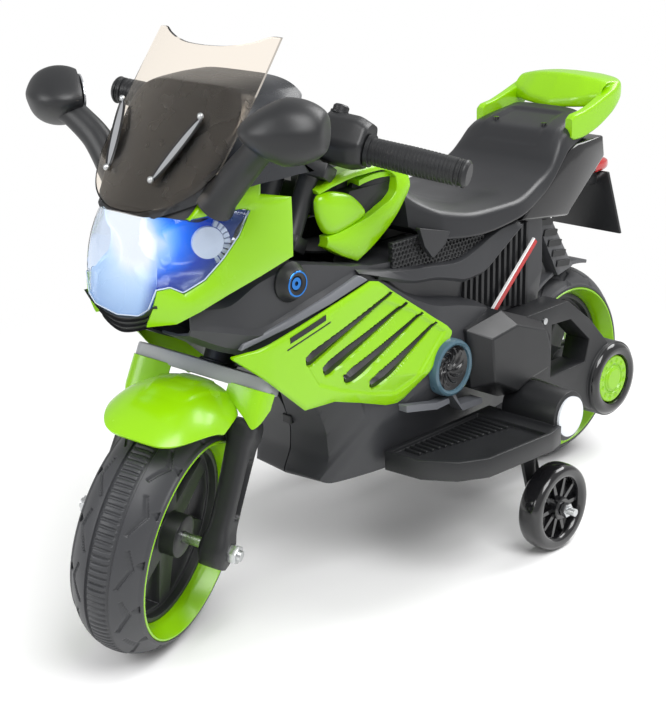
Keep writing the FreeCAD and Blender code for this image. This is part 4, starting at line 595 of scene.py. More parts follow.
# Wall thickness of the thin pieces, mm
WALL = {"fender": 3.0, "guard": 2.6, "cheek": 4.0, "lens": 2.2, "bowl": 2.0, "screen": 2.5, "body": 2.4}


# Wheels


# mm: crown radius, half width, how far the shoulders drop, where the tread ends at the rim
TYRE_R, TYRE_HALF, TYRE_DROP, BEAD_R = 115.0, 33.0, 17.0, 90.2
# mm: half the middle band, pitch of its cross ribs, where the groove beside it starts and ends
BAND_HALF, RIB_PITCH, GROOVE = 8.5, 6.4, (9.0, 11.6)
# mm: how deep the ribs, grooves, chevrons and edge notches are cut
RIB_CUT, GROOVE_CUT, CHEVRON_CUT, NOTCH_CUT = 1.6, 1.8, 1.9, 2.4
# Outlines on one block of a shoulder: run along the tread, place beside the middle
CHEVRON = [(2, 15.5), (22, 24.5), (40, 19.5), (41, 22), (23, 28), (1, 18)]
NOTCH = [(6, 36), (14, 28.5), (20, 36)]
NOTCH_SHIFT, BLOCKS = 14.0, 14   # mm along the tread from a chevron to its notch; blocks round the tyre
# Side wall from the shoulder in to the bead: radius, place beside the middle
TYRE_EDGE = [(97.6, 34.2), (96.9, 35.4), (94.8, 35.9), (94.2, 35.2), (BEAD_R, 26.0)]


def tyre(name, body, place):
    """Tread: the crown's arc carried round the axle, sunk by the pattern: cross ribs in the middle band,
    two grooves beside it, chevron cuts and edge notches on the shoulders."""
    around = 1008
    arc = (TYRE_DROP ** 2 + TYRE_HALF ** 2) / (2 * TYRE_DROP)
    y = np.linspace(-TYRE_HALF, TYRE_HALF, 67)
    turn = circle(around)
    run, side = np.meshgrid(turn * TYRE_R, y, indexing="ij")
    reach = TYRE_R - arc + np.sqrt(arc ** 2 - side ** 2)
    ribs = 2 * np.pi * TYRE_R / round(2 * np.pi * TYRE_R / RIB_PITCH)
    rib = np.abs((run / ribs) % 1.0 - 0.5) * ribs
    sink = RIB_CUT * step(np.abs(side) - BAND_HALF, 0.8) * step(rib - 1.2, 1.0)
    sink += GROOVE_CUT * step(np.abs(np.abs(side) - sum(GROOVE) / 2) - (GROOVE[1] - GROOVE[0]) / 2, 0.9)
    pitch = 2 * np.pi * TYRE_R / BLOCKS
    shift = np.where(side > 0, 0.0, 0.5)
    local = ((run / pitch + shift) % 1.0) * pitch
    sink += CHEVRON_CUT * step(outside(local, np.abs(side), CHEVRON), 0.9)
    sink += NOTCH_CUT * step(outside(local - NOTCH_SHIFT, np.abs(side), NOTCH), 1.2)
    reach = reach - sink
    wall_r, wall_y = np.array(TYRE_EDGE).T
    walls = np.broadcast_to(wall_r, (around, len(wall_r)))
    r = np.concatenate([walls[:, ::-1], reach, walls], 1)
    beside = np.concatenate([-wall_y[::-1], y, wall_y])
    rings = np.stack([r * np.cos(turn)[:, None], np.broadcast_to(beside, r.shape), r * np.sin(turn)[:, None]], -1)
    return mesh(name, hoop(rings), TYRE, body, [name], place=place, sharp=50)


def rim_ring():
    """Coloured rim: a lip beside the tyre that runs down a cone to the flat bed round the spokes; the profile
    (radius, place beside the middle) and its mirror image are turned about the axle."""
    half, back = [(94.0, 35.3), (93.4, 36.0), (92.0, 35.8), (86.2, 24.0), (84.2, 19.0)], (90.0, 26.0)
    profile = half + [(r, -y) for r, y in half[::-1]] + [(back[0], -back[1]), back]
    return turned_solid(profile, 160)


# Fork


LEG_AHEAD = 22.5   # mm, from the steering axis to the middle of a leg
# Fender: where its crest starts and ends, in degrees above level; half width, radii of crest and side edge, mm
FENDER_START, FENDER_END, FENDER_HALF, FENDER_CREST, FENDER_EDGE = 35.5, 86.0, 55.0, 141.0, 117.0


def fender_dome():
    """Shell over the tyre: radius falls from the crest to the side edges by a power of the side fraction;
    its front edge is drawn back at the sides, and a V-shaped step runs back over the crown."""
    s, t = np.meshgrid(np.linspace(-1, 1, 61), np.linspace(0, 1, 61), indexing="ij")
    start = FENDER_START + 26.0 * np.abs(s) ** 4
    end = FENDER_END - 3.0 * np.abs(s) ** 2
    angle = np.radians(start + (end - start) * t)
    half = FENDER_HALF - 8.0 * t ** 1.5
    crest = FENDER_CREST + 2.5 * np.sin(np.pi * t) - 3.0 * (1 - t) ** 3
    edge = FENDER_EDGE + 4.0 * t
    r = edge + (crest - edge) * (1 - np.abs(s) ** 2.6) ** 0.75
    wing = np.abs(s) - (0.12 + 0.62 * t ** 1.2)
    r = r + 1.6 * step(wing, 0.05) * np.clip((t - 0.42) / 0.12, 0, 1)
    inner = np.abs(s) - (0.02 + 0.40 * (t - 0.25))
    r = r + 1.2 * step(inner, 0.05) * np.clip((t - 0.66) / 0.1, 0, 1)
    out = np.stack([r * np.cos(angle), half * s, r * np.sin(angle)], -1)
    return slab(out, out - WALL["fender"] * facing(out) * np.sign((facing(out) * out).sum(-1, keepdims=True)))


def leg_guard():
    """Plate in front of the fork leg: a plan curve carried down from the crown to a slanting lower edge."""
    plan = bowed([(36.5, 29), (40.0, 44), (40.6, 55), (39.0, 63), (34.5, 68), (27.0, 71.5)], 31)
    low = smooth(np.linspace(0, 1, 31), [0, 0.2, 0.4, 0.62, 0.8, 1], [137, 126, 118.5, 111.5, 117, 132])
    t = np.linspace(0, 1, 21)[None, :, None]
    top = np.c_[plan, np.full(31, 146.5)][:, None]
    foot = np.c_[plan, low][:, None]
    grid = top * (1 - t) + foot * t
    out = facing(grid)
    return slab(grid, grid - WALL["guard"] * out * np.sign(out[..., 0:1].mean()))


def fork_crown():
    """Grey lip round the crown plate: its plan outline with rounded corners, carried up."""
    plan = np.array([(37.2, -68.4), (37.2, 68.4), (8.0, 69.4), (-10.0, 40.0), (-10.0, -40.0), (8.0, -69.4)])
    ring = rounded(plan, 9.0, 6)
    rings = [np.c_[ring * (1 - 0.012 * abs(k)), np.full(len(ring), z)] for k, z in
             ((1, 144.6), (0, 145.8), (0, 156.6), (1, 158.2))]
    return skin(np.array(rings))


def fork_leg(side):
    """Leg: rounded oblongs carried down the tube, swelling at the collar and the axle boss, with a long
    slot sunk into its outer face."""
    z = np.linspace(-17, 118, 91)
    half_x = smooth(z, [-17, -12, 0, 18, 40, 92, 100, 104, 112, 118],
                    [8, 14, 17, 15.5, 14, 15.5, 16, 16.5, 16.5, 15])[:, 0]
    half_y = smooth(z, [-17, 0, 22, 92, 100, 104, 112, 118], [12, 14.5, 11, 12, 13.5, 14.5, 14.5, 13])[:, 0]
    angle = circle(72)
    c, s = np.cos(angle), np.sin(angle)
    x, y = half_x[:, None] * square(c, 0.55), half_y[:, None] * square(s, 0.55)
    zz = np.broadcast_to(z[:, None], x.shape)
    slot = np.hypot(x + 1.0, zz - np.clip(zz, 34, 80)) - 5.0
    y = y - np.where(y > 0, 5.0 * step(slot, 1.6), 0.0)
    spread = smooth(z, [-17, 20, 118], [58, 57, 51])
    return skin(np.stack([x + LEG_AHEAD, (y + spread) * side, zz], -1))


# Front fairing: edges measured on the left half, front to back (x, y, z)


LENS_TOP = [(310, 0, 409), (309, 23, 408.5), (305, 33, 409), (300, 40, 409), (293, 47.5, 407.5), (284, 55, 405.5),
            (270, 60.5, 406.5), (255, 66, 408), (241, 71, 409), (232, 73, 407.5)]
LENS_LOW = [(321, 0, 322), (321, 28, 326), (319, 39, 333), (315, 46, 350.5), (304, 51, 351.5), (294, 56, 345.5),
            (276, 63, 354), (260, 69.5, 370), (244, 73, 388), (232, 73.2, 406.5)]
CHEEK_IN = [(284, 55.5, 406), (270, 61, 407.5), (255, 66.5, 409.2), (241, 71.6, 410), (236, 73, 409.5), (231, 74, 407),
            (236, 74, 398), (244, 74, 387), (260, 70.5, 369), (276, 64, 353), (294, 57, 344), (304, 52, 350.5),
            (315, 47, 349.5)]
CHEEK_OUT = [(284.5, 55.5, 406.5), (267, 55.5, 423), (240, 62, 443), (213, 70, 436), (217, 73, 419), (187, 80, 412),
             (187, 80.5, 385), (187, 80, 359), (223, 76, 348), (255, 71, 338.5), (281, 62, 327), (299, 51, 318),
             (318, 34, 316.5)]


def cheek():
    """Plate ruled between the lens edge and the outer edge, raised between them by a power of a sine."""
    grid = ruled(along(CHEEK_IN, 97), along(CHEEK_OUT, 97), 17, 0.0)
    out = facing(grid) * np.sign(facing(grid)[..., 1:2].mean())
    t = np.linspace(0, 1, 17)[None, :, None]
    grid = grid + out * 3.0 * np.sin(np.pi * t) ** 0.8
    return slab(grid, grid - WALL["cheek"] * out)


def lens_grid(count, across):
    """Lines ruled from the lens's top edge to its low edge over both halves, with that grid's outward normals
    and each line's fraction."""
    t = np.linspace(0, 1, across)[None, :, None]
    top, low = bowed(LENS_TOP, count), along(LENS_LOW, count)
    grid = whole(top[:, None] * (1 - t) + low[:, None] * t)
    out = facing(grid)
    return grid, out * np.sign(out[..., 0:1].mean()), t


def lens():
    """Crowned clear plate: the lens grid raised between its edges by a power of a sine."""
    grid, out, t = lens_grid(55, 21)
    grid = grid + out * 4.0 * np.sin(np.pi * t) ** 0.8
    return slab(grid, grid - WALL["lens"] * out)


# Each lamp's hollow, mm: place beside the middle, height, depth
HOLLOWS = ((58.0, 384.0, 8.0), (30.0, 374.0, 4.0))


def lamp_bowl():
    """Silvered bowl behind the lens: the lens grid drawn back by a power of a sine that fades out at the tips,
    with a round hollow behind each lamp."""
    grid, out, t = lens_grid(61, 25)
    y, z = grid[..., 1], grid[..., 2]
    depth = 1.2 + 8.0 * np.sin(np.pi * t[..., 0]) ** 0.6 * np.clip(1 - (np.abs(y) / 74) ** 10, 0, 1)
    for beside, height, deep in HOLLOWS:
        depth = depth + deep * step(np.hypot(np.abs(y) - beside, z - height) - 20.0, 8.0)
    grid = grid - out * depth[..., None]
    return slab(grid, grid - WALL["bowl"] * out)


def chin():
    """Dark cover under the lens with three ridges: a ruled plate pushed out by a saw profile."""
    top = bowed([(318, -46, 336), (320, -30, 327), (320, 0, 321.5), (320, 30, 327), (317, 46, 338)], 41)
    low = bowed([(296, -44, 322), (312, -30, 314), (316, 0, 306.5), (312, 30, 314), (298, 46, 320)], 41)
    t = np.linspace(0, 1, 37)
    grid = ruled(top, low, 37)
    ridge = 1.0 - (t * 3.0) % 1.0
    grid = grid + np.array([1.0, 0.0, -0.3]) * (2.4 * ridge)[None, :, None]
    return slab(grid, grid - [9.0, 0.0, 0.0])


# Windshield and hood


# Sheet, mm: heights, with its forward place there in the middle and at the sides; its low and top edges (y, z)
GLASS_Z, GLASS_MID, GLASS_SIDE = [400, 444, 492, 552], [321, 284, 245, 198], [300, 268, 232, 186]
PANE_LOW = [(0, 411), (16, 411.5), (34, 415), (52, 421), (66, 431), (76, 446)]
PANE_TOP = [(0, 537.5), (20, 538), (38, 540), (54, 543.5), (68, 547.5), (76.5, 547)]


def glass_x(y, z):
    """Forward place of the sheet: a parabola across, whose middle and sides follow the height."""
    mid, side = smooth(z, GLASS_Z, GLASS_MID)[..., 0], smooth(z, GLASS_Z, GLASS_SIDE)[..., 0]
    return mid - (mid - side) * (y / 78.0) ** 2


def windshield():
    """Sheet: lines ruled from its low edge to its top edge in the front view, bowed out a little at the sides and
    then laid on the curve of the glass."""
    t = np.linspace(0, 1, 33)[None, :, None]
    low, top = bowed(PANE_LOW, 33), bowed(PANE_TOP, 33)
    half = low[:, None] * (1 - t) + top[:, None] * t
    half[..., 0] += 1.5 * (np.linspace(0, 1, 33)[:, None] ** 4) * np.sin(np.pi * t[..., 0])
    flat = np.concatenate([half[:0:-1] * [-1, 1], half])
    y, z = flat[..., 0], flat[..., 1]
    grid = np.stack([glass_x(y, z), y, z], -1)
    return slab(grid, grid - [WALL["screen"], 0, 0])


# Hood, mm: place along the length, height of its foot, half width, height of its top
HOOD_X = [166, 184, 200, 218, 233, 250, 268, 284, 300, 309]
HOOD_LOW = [432, 432, 431, 430, 428, 425, 421, 416, 411, 408]
HOOD_WIDE = [88, 87, 85, 81, 77, 71, 63, 54, 43, 36]
HOOD_TOP = [511, 511, 510.5, 509.5, 506, 489, 468, 448, 428, 414]
# Steering axis in the side view: a point on it (x, z) in mm, cosine and sine of its lean; the band of heights
# along it, in mm, that the bar sweeps: middle and half
STEM_X, STEM_Z, LEAN_COS, LEAN_SIN = 277.717, 104.955, 0.90146, 0.43287
SWEPT_MID, SWEPT_HALF = 384.0, 27.0


def hood():
    """Dome behind the sheet: arches whose width and height follow the length; each arch is a
    rounded square, drawn forward where the turned handlebar passes."""
    x = np.linspace(166, 309, 73)
    low, wide, top = (smooth(x, HOOD_X, c)[:, 0] for c in (HOOD_LOW, HOOD_WIDE, HOOD_TOP))
    a = np.linspace(0, np.pi, 61)[None, :]
    y = wide[:, None] * square(np.cos(a), 0.5)
    z = low[:, None] + (top - low)[:, None] * np.sin(a) ** 0.5
    front = glass_x(y, z) - 5.0
    past = np.maximum(x[:, None] - front, 0.0)
    xx = x[:, None] - 1.05 * past
    ahead = (xx - STEM_X) * LEAN_COS + (z - STEM_Z) * LEAN_SIN
    height = (STEM_X - xx) * LEAN_SIN + (z - STEM_Z) * LEAN_COS
    room = 0.6 * np.abs(y) + 24.0 - ahead
    xx = xx + np.clip(room, 0, None) / LEAN_COS * step(np.abs(height - SWEPT_MID) - SWEPT_HALF, 10.0)
    return skin(np.stack([xx, y, z], -1))


# Body: half sections from front to back, each from the underside round the flank to the top (x, y, z)


def section(x, *points):
    """Points (y, z) of an upright section at one place along the length."""
    return [(x, y, z) for y, z in points]


BODY_ROWS = [
    [(290, 20, 302), (289, 38, 302), (287, 52, 305), (286, 54, 310), (285, 53, 314), (282, 49, 326), (282, 44, 328)],
    [(252, 20, 281), (252, 46, 281), (252, 61, 287), (252, 65, 301), (250, 62, 306), (250, 58, 322), (250, 47, 324)],
    section(216, (20, 266), (52, 266), (68, 276), (71, 292), (67, 298), (66, 338), (47, 339)),
    section(176, (20, 233), (50, 233), (74, 255), (76, 300), (69, 307), (68, 345), (47, 346)),
    section(150, (16, 221), (50, 221), (76, 246), (75, 306), (69, 313), (68, 341), (47, 341)),
    [(138, 6, 205), (138, 50, 205), (140, 77, 240), (138, 74.5, 308), (138, 69, 315), (138, 68, 338), (138, 47, 338)],
    [(125, 0.7, 178), (123, 46, 181), (120, 72, 222), (126, 74, 311), (126, 69, 318), (126, 68, 335), (126, 47, 335)],
    [(118.5, 0.7, 155), (115, 46, 156), (98, 73, 200), (112, 73, 315), (112, 69, 321), (112, 68, 332), (112, 47, 332)],
    [(119.5, 0.7, 138), (115, 48, 137), (90, 73, 180), (98, 71.5, 318), (98, 68.5, 323), (98, 67, 328), (98, 44, 328)],
    [(129, 0.7, 116), (124, 44, 115), (84, 76, 172), (86, 70.5, 319), (84, 67.5, 322), (84, 66, 326), (84, 30, 326)],
    [(124, 0.7, 111), (116, 52, 111.5), (74, 80, 172), (74, 70, 313), (72, 66, 318), (72, 66, 323), (72, 20, 323)],
    section(60, (0.7, 112), (66, 112), (84, 176), (71, 306), (66, 312), (66, 322), (10, 322)),
    section(20, (0.7, 112), (69, 112), (90, 196), (79, 279), (64, 285), (67, 319), (2, 319)),
    section(-8, (0.7, 112), (70, 112), (92, 204), (85, 268), (62, 274), (68, 318), (2, 318)),
    section(-40, (0.7, 112.5), (68, 112.5), (90, 204), (84, 261), (61, 267), (67, 318), (2, 318)),
    section(-84, (0.7, 114), (64, 114), (82, 206), (79, 248), (59, 254), (66, 318), (2, 318)),
    section(-112, (0.7, 115), (58, 115), (70, 208), (68, 236), (58, 241), (63, 318), (2, 318)),
    section(-140, (0.7, 116), (52, 116), (60, 212), (60, 226), (58, 230), (58, 318), (2, 318)),
    section(-168, (0.7, 118), (50, 118), (57, 215), (57, 225), (57, 229), (57, 318), (2, 318)),
    section(-176, (0.7, 150), (50, 150), (57, 222), (57, 230), (57, 234), (57, 317), (2, 317)),
    section(-194, (0.7, 186), (50, 186), (57, 240), (57, 244), (57, 248), (57, 315), (2, 315)),
    section(-214, (0.7, 211), (50, 211), (57, 254), (57, 258), (57, 262), (56, 311.5), (2, 311.5)),
    section(-216, (0.7, 225), (8, 225), (10, 256), (10, 259), (10, 262), (10, 306), (2, 306)),
]


def body_half():
    """Half shell: smooth curves along the rows, straight runs between the corners of each section."""
    rows = np.array(BODY_ROWS, float)
    count = len(rows)
    lines = smooth(np.linspace(0, count - 1, (count - 1) * 6 + 1), np.arange(count), rows.reshape(count, -1))
    lines = lines.reshape(-1, 7, 3)
    at = np.concatenate([k + np.linspace(0, 1, 8)[:-1] for k in range(6)] + [[6.0]])
    whole = np.minimum(at.astype(int), 5)
    part = (at - whole)[None, :, None]
    grid = lines[:, whole] * (1 - part) + lines[:, whole + 1] * part
    out = facing(grid)
    out = out * np.sign(out[:, 20, 1].mean())
    return slab(grid, grid - WALL["body"] * out)


# Solid body, mm: x, then height and half width of the low edge, the widest line and the top
SECTIONS = np.array([
    (252, 291, 44, 302, 58, 318, 56), (216, 266, 52, 292, 68, 338, 66), (176, 212, 50, 252, 72, 346, 68),
    (128, 178, 50, 240, 77, 336, 68), (119, 116, 50, 228, 78, 335, 68), (60, 112, 66, 216, 86, 322, 66),
    (-8, 112, 70, 204, 92, 318, 68), (-84, 114, 64, 208, 80, 318, 68), (-140, 116, 52, 212, 58, 318, 58),
    (-216, 213, 50, 255, 57, 312, 56)], float)


def flank(x, z):
    """Half width of the solid body at a place: straight from the low edge to the widest line to the top."""
    low_z, low_w, mid_z, mid_w, top_z, top_w = (
        np.interp(x, SECTIONS[::-1, 0], SECTIONS[::-1, k]) for k in range(1, 7))
    above = mid_w + (top_w - mid_w) * (z - mid_z) / (top_z - mid_z)
    below = mid_w + (low_w - mid_w) * (mid_z - z) / (mid_z - low_z)
    return np.where(z > mid_z, above, below)


# Side panel in the side view (x, z): its edges, its sunk field, and the top and low end of each slot
PANEL_UP = [(-21, 241), (-16, 247), (30, 280), (64, 304.5), (72, 309.5), (84, 312.5), (140, 301.5), (190, 291),
            (251, 278.5)]
PANEL_LOW = [(-20, 237), (-14, 231), (25, 204), (48, 188.5), (56, 185.5), (70, 186.5), (138, 209), (178, 212),
             (250, 276)]
PANEL_FIELD = [(176, 257), (66, 289), (30, 272), (-9, 243), (40, 206), (62, 198), (92, 205), (130, 218), (160, 232)]
LOUVRES = [(55, 295, 176, 257), (36, 281, 152, 241), (17, 267, 124, 226), (0, 254, 93, 213)]


def louvre_edge(row, spare):
    """Long drop outline: thin at the top end, blunt at the low end."""
    top, low = np.array(row[:2], float), np.array(row[2:], float)
    way = (low - top) / np.linalg.norm(low - top)
    across = np.array([-way[1], way[0]])
    return np.array([top - way * spare - across * (1.0 + spare), low - way * 7 - across * (7.2 + spare),
                     low + way * spare - across * 4.5, low + way * spare + across * (5.5 + spare),
                     low - way * 10 + across * (7.2 + spare), top - way * spare + across * (1.0 + spare)])


def panel_y(x, z):
    """Outer face of the panel: over the flank, but never inside a flatter line along the length."""
    line = smooth(x, [-30, 60, 138, 178, 215, 229, 240, 250], [74, 78, 82, 82.5, 82, 79.5, 73, 67])[..., 0]
    return np.maximum(flank(x, z) + 6.3, line) - 2.0 * step(outside(x, z, PANEL_FIELD), 4.0)


def side_panel():
    """Plate between its upper and lower edges laid over the flank, with a sunk field and four slots."""
    flat = ruled(along(side_view(PANEL_UP), 241), along(side_view(PANEL_LOW), 241), 81)
    x, z = flat[..., 0], flat[..., 1]
    y = panel_y(x, z)
    for row in LOUVRES:
        y = y - 3.4 * step(outside(x, z, louvre_edge(row, -0.4)), 1.4)
    t = np.linspace(0, 1, 81)[None]
    y = y - 2.2 * np.abs(2 * t - 1) ** 14
    return plate(x, y, np.minimum(panel_y(x, z) - 3.8, y - 0.8), z)


def louvre_bars():
    """Black bar in each slot: a roof-shaped section that narrows to the top end."""
    made = []
    for row in LOUVRES:
        edge = louvre_edge(row, 0.0)
        flat = ruled(along(side_view(edge[[0, 1, 2]]), 31), along(side_view(edge[[5, 4, 3]]), 31), 9)
        x, z = flat[..., 0], flat[..., 1]
        t = np.linspace(0, 1, 9)[None]
        roof = np.minimum(t / 0.62, (1 - t) / 0.38)
        y = panel_y(x, z) - 2.6 + 4.2 * roof
        made.append(plate(x, y, panel_y(x, z) - 3.6, z))
    return join(*made)


def stripe_bars():
    """Two plain thin bars printed on the panel's upper strip: each follows a falling line on the panel's face."""
    made = []
    for shift, half, ends in ((0.0, 2.6, (150, 196)), (-7.0, 0.6, (144, 200))):
        x = np.linspace(*ends, 24)[:, None] + np.zeros(3)
        mid = 289.5 - (x - 170) * 0.225 + shift
        z = mid + np.array([-half, 0, half])
        y = panel_y(x, z)
        made.append(plate(x, y + 0.35, y - 0.3, z))
    return join(*made)


def neck_strip():
    """Light strip along the panel's upper edge: a sloping face between two lines."""
    low = along([(242, 68, 282.5), (190, 77, 293.5), (140, 79, 303.5), (87, 77.5, 314.5)], 49)
    up = along([(238, 66, 288.5), (190, 74.5, 300), (140, 75.5, 310.5), (97, 74, 320.5)], 49)
    grid = ruled(low, up, 7, 0.6)
    return slab(grid, grid - [0, 6.0, 0])


BOSS_AT = (181, 75.5, 332)   # mm, middle of the round boss on the neck


def neck_boss():
    """Round boss on the neck with a dished face: its profile turned about its own axis."""
    ring = [(0, 0.0), (6.2, 0.0), (7.2, 2.0), (10.0, 3.2), (12.6, 3.0), (14.0, 1.5), (15.5, -2.0), (18.5, -6.0),
            (18.5, -9.0), (0, -9.0)]
    return turned_solid(ring, 56)


def ring_round(inner, outer, near, far, count=56):
    """Ring between two radii and two lengths along its axis, its outer wall a little proud in the middle."""
    profile = [(inner, near), (outer, near), (outer + 0.3, (near + far) / 2), (outer, far), (inner, far)]
    return turned_solid(profile, count)


def moved(part, spot):
    """The part shifted to a spot."""
    return np.asarray(part[0], float).reshape(-1, 3) + np.asarray(spot, float), part[1]


def block(x, y, z):
    """Box between pairs of limits: an oblong in x and z carried across."""
    ring = np.array([(x[0], z[0]), (x[1], z[0]), (x[1], z[1]), (x[0], z[1])], float)
    return skin(np.array([np.c_[ring[:, 0], np.full(4, w), ring[:, 1]] for w in y]))


def pressed(corners, ends, radius=2.0, steps=5):
    """Plate of a rounded outline in x and z between two widths."""
    ring = rounded(np.asarray(corners, float), radius, steps)
    return skin(np.array([np.c_[ring[:, 0], np.full(len(ring), w), ring[:, 1]] for w in ends]))


# Tank


# Outlines in the side view (x, z)
ARM_OUT = [(121, 401), (100, 408), (70, 412.5), (38, 413.5), (12, 408), (1, 399), (1.5, 387), (12, 371), (28, 355),
           (52, 339), (77, 326.5)]
ARM_IN = [(119, 396), (98, 401), (68, 405), (38, 405.5), (24, 402), (19, 396), (22, 385), (31, 377), (42, 373),
          (60, 366.5), (86, 360.5)]
TANK_FOOT_UP = [(86, 360.5), (98, 358), (113, 356.5)]
TANK_FOOT_LOW = [(77, 326.5), (96, 335), (115, 346.5)]
# Blister: its outline, then for each ring how far it is drawn in and its place beside the middle
DOME = [(125, 396), (104, 397.5), (80, 391), (66, 380), (56, 368), (73, 361), (100, 355.5), (114, 358), (124, 376)]
DOME_RISE = ((1.0, 45.4), (1.0, 47.5), (0.97, 49.6), (0.9, 51.6), (0.78, 53.2), (0.55, 54.6), (0.28, 55.2),
             (0.04, 55.4))


def tank_frame():
    """Band between its outer and inner lines on each side, thick towards the inside, with its foot plate."""
    upper = ruled(bowed(side_view(ARM_OUT), 91), bowed(side_view(ARM_IN), 91), 9)
    foot = ruled(along(side_view(TANK_FOOT_LOW), 31), along(side_view(TANK_FOOT_UP), 31), 9)
    flat = np.concatenate([upper, foot[1:]])
    x, z = flat[..., 0], flat[..., 1]
    t = np.linspace(0, 1, 9)[None]
    y = 57.5 - 0.06 * np.clip(z - 385, 0, 40) ** 1.6 - 2.0 * (2 * t - 1) ** 2 - 0.004 * np.clip(x - 60, 0, 80) ** 1.8
    return plate(x, y, y - 11.0 - 7.0 * np.clip((z - 385) / 25, 0, 1), z)


def tank_dome():
    """Blister inside the frame: an outline drawn in ring by ring while it rises."""
    ring = rounded(np.array(DOME, float), 8.0, 6)
    mid = ring.mean(0)
    rings = [side_view(mid + (ring - mid) * k)[:, [0, 2, 1]] + [0, w, 0] for k, w in DOME_RISE]
    return skin(np.array(rings))


def tank_recess():
    """Dark plate behind the frame, folded along a slanting line."""
    a = along([(4, 43, 402), (20, 45, 380), (48, 46, 352), (77, 44, 334)], 31)
    b = along([(58, 36, 404), (66, 38, 392), (72, 41, 372), (92, 43, 350)], 31)
    grid = ruled(a, b, 9, -4.0)
    return slab(grid, grid - [0, 4.0, 0])


def tank_top():
    """Cover across the top between the two frames: a parabola both ways, lower under the switch panel."""
    x, y = np.meshgrid(np.linspace(4, 63, 25), np.linspace(-45, 45, 31), indexing="ij")
    panel = np.maximum(np.abs(y) - 31.5, np.abs(x - 50) - 29.0)
    z = 407.0 - 0.0022 * y ** 2 - 0.004 * (x - 36) ** 2 - 5.0 * step(panel, 2.0)
    grid = np.stack([x, y, z], -1)
    return slab(grid, grid - [0, 0, 5.0])


# Saddle


# Saddle, mm: x, then height and half width of the low corner, the edge and the top corner
SADDLE = np.array([
    (9.6, 346, 60, 374, 55, 398, 38), (-6, 337, 70, 364, 65, 383, 40), (-25, 330, 79, 356, 74, 371, 44),
    (-80, 325, 83, 347, 79, 355, 50), (-134, 330, 84, 348, 80, 352, 50), (-190, 344.5, 76, 361, 72, 363, 46),
    (-212, 357, 73, 371, 69, 374, 46), (-224, 366, 71, 381, 67, 390, 46), (-236, 375, 69, 394, 64, 403.5, 46),
    (-246, 381, 67, 400, 62, 407, 46), (-292, 389.8, 58, 411, 51, 418, 38)], float)


def saddle():
    """Sections of six rounded corners carried along the length; the seat face is dished by a parabola, and a panel
    is sunk into the raised rear."""
    x = np.linspace(9.6, -292, 121)
    low_z, low_w, edge_z, edge_w, top_z, top_w = smooth(x, SADDLE[:, 0], SADDLE[:, 1:]).T
    beside, height = [-low_w, -edge_w, -top_w, top_w, edge_w, low_w], [low_z, edge_z, top_z, top_z, edge_z, low_z]
    corners = np.stack([np.stack(beside, 1), np.stack(height, 1)], -1)
    ring = rounded(corners, np.array([4, 6, 22, 22, 6, 4.0])[None, :, None], 11)
    y, z = ring[..., 0], ring[..., 1]
    length = np.broadcast_to(x[:, None], y.shape)
    top = (z > (edge_z + 0.4 * (top_z - edge_z))[:, None])
    dish = 3.2 * (1 - np.clip(np.abs(y) / 50, 0, 1) ** 2) * np.clip(1 - np.abs(length + 95) / 90, 0, 1)
    rear = 2.2 * step(np.maximum(np.abs(y) - 36 + 6 * (length + 245) / -40, np.abs(length + 250) - 27), 3.0)
    z = z - np.where(top, dish + rear, 0)
    return skin(np.stack([length, y, z], -1))


# Mirrors


MIRROR_AT, MIRROR_TURN = (256.0, 146.0, 486.0), 30.0          # mm, degrees
MIRROR_DEEP, MIRROR_WIDE, MIRROR_HIGH = 29.0, 39.0, 27.0      # mm, half sizes
MIRROR_CUT, MIRROR_CUT_SOFT = 28, 6                           # mm, where the outer end is cut, and how softly


def mirror_shell():
    """Egg cut off flat behind: rounded rings along the mirror's axis, lower at the inner end, cut straight at
    the outer end, with a soft ridge along the middle."""
    a = np.linspace(0, 0.69 * np.pi, 49)
    turn = circle(96)
    depth, reach = np.cos(a)[:, None], np.sin(a)[:, None] ** 0.85
    c, s = np.cos(turn), np.sin(turn)
    y, z = MIRROR_WIDE * reach * square(c, 0.85), MIRROR_HIGH * reach * square(s, 0.9)
    z = z * (1 - 0.5 * np.clip(-y / MIRROR_WIDE, 0, 1) ** 1.1 - 0.12 * np.clip(y / MIRROR_WIDE, 0, 1) ** 2)
    y = np.where(y > MIRROR_CUT, MIRROR_CUT + MIRROR_CUT_SOFT * np.tanh((y - MIRROR_CUT) / MIRROR_CUT_SOFT), y)
    x = MIRROR_DEEP * depth + 1.6 * np.exp(-((z - 2.0) / 7.0) ** 2) * np.clip(depth, 0, 1)
    yaw = math.radians(MIRROR_TURN)
    return skin(np.stack([x * math.cos(yaw) - y * math.sin(yaw) + MIRROR_AT[0],
                          x * math.sin(yaw) + y * math.cos(yaw) + MIRROR_AT[1], z + MIRROR_AT[2]], -1))


def mirror_stem():
    """Stem from the cowl to the mirror: a round tube along a smooth path, swelling into both."""
    path = bowed([(258, 60, 417), (257, 72, 428), (255, 96, 452), (258, 116, 468), (262, 134, 480)], 33)
    return tube(path, smooth(np.linspace(0, 1, 33), [0, 0.2, 0.6, 0.85, 1], [19, 15.5, 13, 12.5, 15])[:, 0], 28)


# Handlebar pieces in the fork's frame


BAR_UP, BOX_TOP = 382.0, 408.0   # mm, heights of the bar's axis and of the switch boxes' tops


